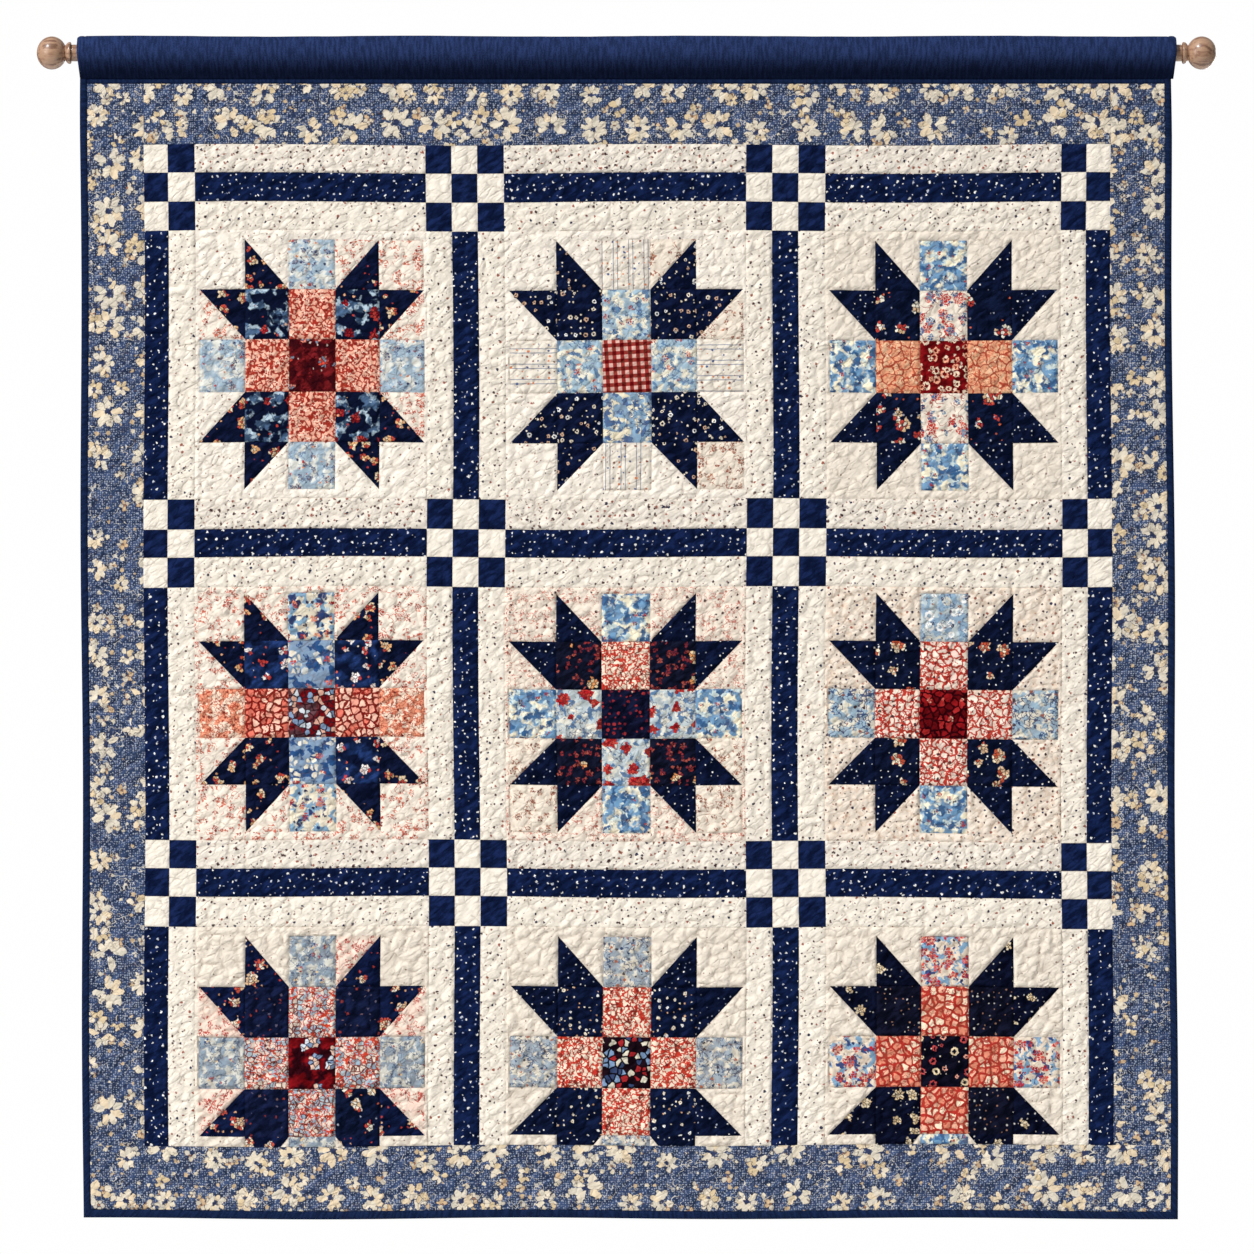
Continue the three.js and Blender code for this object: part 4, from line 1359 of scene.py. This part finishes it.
def bindingHalf(over):
    # Half the binding's thickness: thin at the fold, full behind it, pinched where it is sewn down
    plan = bindingPlan
    full = np.sqrt(np.clip(1 - (1 - np.clip(over / plan["foldShare"], 0, 1)) ** plan["foldRound"], 0, 1))
    sewn = np.clip((over - plan["pinchFrom"]) / (1 - plan["pinchFrom"]), 0, 1)
    return plan["half"] * lerp(plan["foldThin"], 1, full) * (1 - plan["pinch"] * sewn ** plan["pinchRound"])


def ringFaces(rings, count, first=0):
    # Faces between each ring of so many points and the next
    faces = []
    for k in range(rings - 1):
        low, high = first + k * count, first + (k + 1) * count
        for i in range(count):
            j = (i + 1) % count
            faces.append((low + i, low + j, high + j, high + i))
    return faces


def fixNormals(piece):
    choose(piece)
    bpy.ops.object.mode_set(mode="EDIT")
    bpy.ops.mesh.select_all(action="SELECT")
    bpy.ops.mesh.normals_make_consistent(inside=False)
    bpy.ops.object.mode_set(mode="OBJECT")


def bindingStrip(name, outer, inner):
    # outer and inner are the strip's long sides, each from its start to its end
    plan = bindingPlan
    reach = math.dist(*outer)
    count = round(reach / plan["pitch"])
    over = np.array(plan["over"])
    around = np.concatenate([over, over[::-1]])
    side = np.repeat([-1.0, 1.0], over.size)
    along = np.linspace(0, 1, count + 1)[:, None]
    x, z = (lerp(lerp(outer[0][k], outer[1][k], along), lerp(inner[0][k], inner[1][k], along), around)
            for k in (0, 1))
    stir = wandering(along * reach, around * plan["clothAcross"], plan["puckerSize"], 3) - 0.5
    pucker = plan["pucker"] * stir * np.sin(math.pi * around)
    points = hung(x, z, side * (bindingHalf(around) + pucker)).reshape(-1, 3)
    faces = ringFaces(count + 1, around.size)
    faces.append(tuple(range(around.size))[::-1])
    faces.append(tuple(range(count * around.size, (count + 1) * around.size)))
    lengths = np.repeat(along * reach, around.size)
    across = np.tile(around, count + 1)
    clothPlaces = atCorners(faces, lengths, across * plan["clothAcross"])
    # Painted shade along the binding's sewn edges, front and back, where it meets the quilt
    paintedShade = np.clip((across - plan["creaseFrom"]) * plan["creaseSteep"], 0, 1)
    piece = makeMesh(name + "_cloth", points, faces, ["bindingNavy"], [0] * len(faces), clothPlaces, paintedShade)
    fixNormals(piece)
    isUpright = abs(outer[0][0] - outer[1][0]) < abs(outer[0][1] - outer[1][1])
    axis = 0 if isUpright else 1
    folded = (abs(outer[0][axis] - inner[0][axis]) + plan["takenUp"]) * mm
    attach(piece, "root")
    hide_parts(name)
    folded * reach * mm


outerTop = [crossing("outerLeft", "outerTop"), crossing("outerRight", "outerTop")]
outerLow = [crossing("outerLeft", "outerBottom"), crossing("outerRight", "outerBottom")]
innerTop = [crossing("bindingLeft", "outerTop"), crossing("bindingRight", "outerTop")]
innerLow = [crossing("bindingLeft", "bindingBottom"), crossing("bindingRight", "bindingBottom")]
headLine = [crossing("bindingLeft", "bindingTop"), crossing("bindingRight", "bindingTop")]
bindingStrip("binding_left", (outerLow[0], outerTop[0]), (innerLow[0], innerTop[0]))
bindingStrip("binding_right", (outerTop[1], outerLow[1]), (innerTop[1], innerLow[1]))
bindingStrip("binding_bottom", (outerLow[1], outerLow[0]), (innerLow[1], innerLow[0]))
bindingStrip("binding_top", innerTop, headLine)
print("The edges are bound")


# Rod sleeve: a loose tube over the pole

sleevePlan = {
    "outside": {"radius": 17.1, "foot": -26.85, "footHalf": 2.6, "straight": 9, "curved": 40},
    "inside": {"radius": 15.3, "foot": -23.65, "footHalf": 0.6, "straight": 4, "curved": 24},
    "end": 571.0,
    "slope": 2.6,
    "pitch": 3.0,
    "hem": 7.8,
    "hemRise": 0.5,
    "hemSoft": 0.6,
    "hemStations": [0, 0.4, 1.2, 2.6, 4.2, 5.8, 7.0, 7.6, 8.0, 8.8, 10.2],
    "hemClear": 4.5,
    "stitch": 0.45,
    "stitchHalf": 0.9,
    "lip": 1.7,
    "lipReach": 3.6,
    "slack": 0.9,
    "slackLength": 47,
    "ripple": 0.35,
    "rippleSize": 13.0,
    "gather": 0.55,
    "gatherSize": 5.0,
    "gatherTop": 11,
    "gatherReach": 8,
    "footReach": 6,
    "girth": 118,
    # The painted shade under the pole: how dark, where it starts and how far up it reaches
    "shade": 1.55,
    "shadeTop": 4,
    "shadeReach": 25,
}


def sleeveOutline(radius, foot, footHalf, straight, curved):
    # From the back of the foot up, over the pole and down the front
    turn = math.acos(radius / abs(foot))
    angle = np.linspace(turn - quarterTurn, 3 * quarterTurn - turn, curved)
    over = radius * np.stack([np.cos(angle), np.sin(angle)], -1)
    start, end = np.array([footHalf, foot]), np.array([-footHalf, foot])
    rise = np.linspace(0, 1, straight)[:-1, None]
    fall = np.linspace(0, 1, straight)[1:, None]
    return np.concatenate([lerp(start, over[0], rise), over, lerp(over[-1], end, fall)])


def sleeveLift(along, y, z):
    # How far the outside stands off a plain tube: its slack, hem, ripples and the gathers at its foot
    plan = sleevePlan
    foot = plan["outside"]["foot"]
    inFrom = plan["end"] - np.abs(along)
    inHem = smoothStep((plan["hem"] + plan["hemSoft"] - inFrom) / (2 * plan["hemSoft"]))
    nearFoot = smoothStep((z - foot) / plan["footReach"])
    slack = plan["slack"] * (0.5 + 0.5 * np.sin(along / plan["slackLength"])) * (1 - inHem)
    rise = (slack + plan["hemRise"] * inHem) * nearFoot
    ripple = wandering(along, z * 0.3, plan["rippleSize"], 3) - 0.5
    rise = rise + plan["ripple"] * ripple * (1 - inHem)
    rise = rise - plan["stitch"] * np.exp(-((inFrom - plan["hem"]) / plan["stitchHalf"]) ** 2)
    rise = rise - plan["lip"] * np.clip(1 - inFrom / plan["lipReach"], 0, 1) ** 2
    gather = plan["gather"] * smoothStep((foot + plan["gatherTop"] - z) / plan["gatherReach"])
    return rise + gather * (wandering(along, z * 0.12, plan["gatherSize"], 2) - 0.6) * nearFoot


def sleeveTube(outline, stations, isOutside):
    y, z, along = outline[None, :, 0], outline[None, :, 1], stations[:, None]
    slope = sleevePlan["slope"] * np.clip(z / hangingPlan["top"], 0, 1)
    x = along * (1 - slope / sleevePlan["end"])
    share = sleeveLift(along, y, z) / np.hypot(y, z) if isOutside else 0 * x
    return np.stack([x, y * (1 + share), z * (1 + np.where(z > 0, share, 0))], -1)


def endBand(outRing, inRing):
    # Faces between the two rings at one end of the sleeve
    faces = []
    matched = np.round(np.linspace(0, len(inRing) - 1, len(outRing))).astype(int)
    for i in range(len(outRing)):
        j = (i + 1) % len(outRing)
        a, b = matched[i], matched[j]
        faces.append((outRing[j], outRing[i], inRing[a]) + ((inRing[b],) if b != a else ()))
    return faces


def makeSleeve():
    plan = sleevePlan
    hem = np.array(plan["hemStations"])
    edge = plan["end"] - plan["hem"]
    middle = np.linspace(plan["hemClear"] - edge, edge - plan["hemClear"], round(2 * edge / plan["pitch"]))
    stations = np.concatenate([hem - plan["end"], middle, (plan["end"] - hem)[::-1]])
    tubes = [sleeveTube(sleeveOutline(**plan[side]), stations, side == "outside")
             for side in ("outside", "inside")]
    points = np.concatenate([tube.reshape(-1, 3) for tube in tubes])
    rings, outCount = tubes[0].shape[:2]
    inCount = tubes[1].shape[1]
    first = rings * outCount
    faces = ringFaces(rings, outCount) + [face[::-1] for face in ringFaces(rings, inCount, first)]
    for k in (0, rings - 1):
        band = endBand(range(k * outCount, (k + 1) * outCount),
                       range(first + k * inCount, first + (k + 1) * inCount))
        faces.extend(band if k == 0 else [face[::-1] for face in band])
    lengths = np.concatenate([np.repeat(stations, count) for count in (outCount, inCount)])
    girths = np.concatenate([np.tile(np.linspace(0, plan["girth"], count), rings)
                             for count in (outCount, inCount)])
    # Painted shade along the hem's stitched line, and painted shade where the tube draws in under the pole
    paintedShade = np.exp(-(edge - np.abs(lengths)) ** 2)
    under = smoothStep((plan["shadeTop"] - points[:, 2]) / plan["shadeReach"]) * (points[:, 1] < 0)
    paintedShade = np.maximum(paintedShade, plan["shade"] * under)
    sleeve = makeMesh("rod_sleeve_cloth", points, faces, ["sleeveNavy"], [0] * len(faces),
                      atCorners(faces, lengths, girths), paintedShade)
    fixNormals(sleeve)
    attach(sleeve, "root")
    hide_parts("rod_sleeve")


makeSleeve()
print("The sleeve is over the pole")


# Wood of the pole and its finials

woodPlan = {
    "light": (176, 140, 112),
    "mid": (152, 114, 90),
    "dark": (116, 82, 62),
    "red": (128, 76, 58),
    "coat": 0.35,
    "coatRoughness": 0.18,
    "roughness": 0.36,
    "fibreRoughness": 0.12,
    "fibreRise": 0.6,
    "fibreShare": 0.4,
    "bands": 14.0,
}


def turnedWood(name, redder):
    # Wood with its grain along the pole; redder is how much of the red goes over it
    wood, start = newMaterial(name)
    place = objectPlace(start)
    long, longest = (place.vector("MULTIPLY", (share, 1.0, 1.0)) for share in (0.10, 0.05))
    wide = start.node("ShaderNodeTexNoise", {}, {"Vector": long, "Scale": 0.22, "Detail": 3.0})
    fibre = start.node("ShaderNodeTexNoise", {}, {"Vector": longest, "Scale": 1.3})
    bands = (wide * woodPlan["bands"]).maths("SINE") * 0.5 + 0.5
    mixed = bands * (1 - woodPlan["fibreShare"]) + fibre * woodPlan["fibreShare"]
    stops = [(0.2, dye(*woodPlan["dark"])), (0.5, dye(*woodPlan["mid"])), (0.85, dye(*woodPlan["light"]))]
    colour = start.node("ShaderNodeValToRGB", {"stops": stops}, {0: mixed})
    if redder:
        inks = {0: redder, 6: colour, 7: dye(*woodPlan["red"])}
        colour = start.node("ShaderNodeMix", {"data_type": "RGBA"}, inks, 2)
    bumped = start.node("ShaderNodeBump", {}, {
        "Height": fibre, "Distance": 0.06 * mm, "Strength": woodPlan["fibreRise"]})
    shadeWith(start, {
        "Base Color": colour,
        "Roughness": fibre * woodPlan["fibreRoughness"] + woodPlan["roughness"],
        "Normal": bumped,
        "Coat Weight": woodPlan["coat"],
        "Coat Roughness": woodPlan["coatRoughness"],
    })
    return wood


finialPlan = {
    "seat": 560.3,
    "tip": 613.5,
    "neck": 8.7,
    "ball": 17.2,
    "ballHalf": 15.6,
    "ballFoot": 7.9,
    "ballSteps": 30,
    # The groove before the ring, the ring and the gap behind it: how far along, and out from the neck
    "ringLength": 6.4,
    "ring": [(-2.0, 0), (-1.0, 0), (-0.4, -0.4), (-0.1, -0.7), (0, 0.945), (0.3, 2.106), (0.8, 2.565),
             (1.5, 2.7), (2.2, 2.646), (3.0, 2.376), (3.9, 1.782), (4.8, 0.864), (5.5, -0.15), (6.1, -0.75)],
    "segments": 64,
}


def finialProfile():
    plan = finialPlan
    centre = plan["tip"] - plan["ballHalf"]
    footAngle = math.asin(plan["ballFoot"] / plan["ball"])
    ringStart = centre - plan["ballHalf"] * math.cos(footAngle) - plan["ringLength"]
    profile = [(plan["seat"], 0), (plan["seat"], plan["neck"])]
    profile += [(ringStart + along, plan["neck"] + out) for along, out in plan["ring"]]
    for i in range(plan["ballSteps"]):
        angle = lerp(footAngle, math.pi, i / plan["ballSteps"])
        profile.append((centre - plan["ballHalf"] * math.cos(angle), plan["ball"] * math.sin(angle)))
    return profile + [(plan["tip"], 0)]


def makeFinial(side, name):
    # The half outline is drawn point by point and spun round the pole's line
    profile = finialProfile()
    bpy.ops.object.select_all(action="DESELECT")
    bpy.ops.mesh.primitive_plane_add(size=mm, location=(0, 0, 0))
    finial = bpy.context.active_object
    finial.name = name + "_turned"
    finial.data.name = finial.name
    bpy.ops.object.mode_set(mode="EDIT")
    bpy.ops.mesh.select_all(action="SELECT")
    bpy.ops.mesh.merge(type="CENTER")
    bpy.ops.transform.translate(value=(side * profile[0][0] * mm, 0, profile[0][1] * mm))
    for (x0, r0), (x1, r1) in zip(profile, profile[1:]):
        step = (side * (x1 - x0) * mm, 0, (r1 - r0) * mm)
        bpy.ops.mesh.extrude_region_move(TRANSFORM_OT_translate={"value": step})
    bpy.ops.mesh.select_all(action="SELECT")
    bpy.ops.mesh.spin(steps=finialPlan["segments"], angle=2 * math.pi, center=(0, 0, 0), axis=(1, 0, 0))
    bpy.ops.mesh.select_all(action="SELECT")
    bpy.ops.mesh.remove_doubles(threshold=0.02 * mm)
    bpy.ops.mesh.normals_make_consistent(inside=False)
    bpy.ops.object.mode_set(mode="OBJECT")
    bpy.ops.object.shade_smooth_by_angle(angle=math.radians(40))
    finial.data.materials.append(finialWood)
    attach(finial, "root")
    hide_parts(name)


finialWood = turnedWood("turnedFinialWood", 0)
makeFinial(-1, "finial_left")
makeFinial(1, "finial_right")
poleWood = turnedWood("planedPoleWood", 0.25)
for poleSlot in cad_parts["pole"].material_slots:
    poleSlot.material = poleWood
print("The wood is turned and oiled")


# Floor and room

def makeFloor():
    bpy.ops.object.select_all(action="DESELECT")
    bpy.ops.mesh.primitive_circle_add(vertices=studio["floorCorners"], radius=studio["floorRadius"],
                                      fill_type="NGON", location=(0, 0, studio["floorLevel"]))
    floor = bpy.context.active_object
    floor.name = "floor"
    pale = bpy.data.materials.new("paleFloor")
    pale.use_nodes = True
    shader = pale.node_tree.nodes["Principled BSDF"]
    shader.inputs["Base Color"].default_value = studio["floorColour"]
    shader.inputs["Roughness"].default_value = studio["floorRoughness"]
    floor.data.materials.append(pale)


def lightRoom():
    room = bpy.data.worlds.new("studio")
    bpy.context.scene.world = room
    room.use_nodes = True
    room.node_tree.nodes.clear()
    start = Thread(room.node_tree)
    isSeen = start.node("ShaderNodeLightPath", {}, {}, "Is Camera Ray")
    height = sidesOf(start.node("ShaderNodeTexCoord", {}, {}, "Generated")).beside("Z") * 0.5 + 0.5
    level = between(height, studio["roomBelow"], studio["roomAbove"])
    soft = start.node("ShaderNodeBackground", {}, {"Color": studio["roomColour"], "Strength": level})
    paper = start.node("ShaderNodeBackground", {}, {"Color": studio["paperColour"], "Strength": 1.0})
    both = start.node("ShaderNodeMixShader", {}, {0: isSeen, 1: soft, 2: paper})
    start.node("ShaderNodeOutputWorld", {}, {"Surface": both})


makeFloor()
lightRoom()
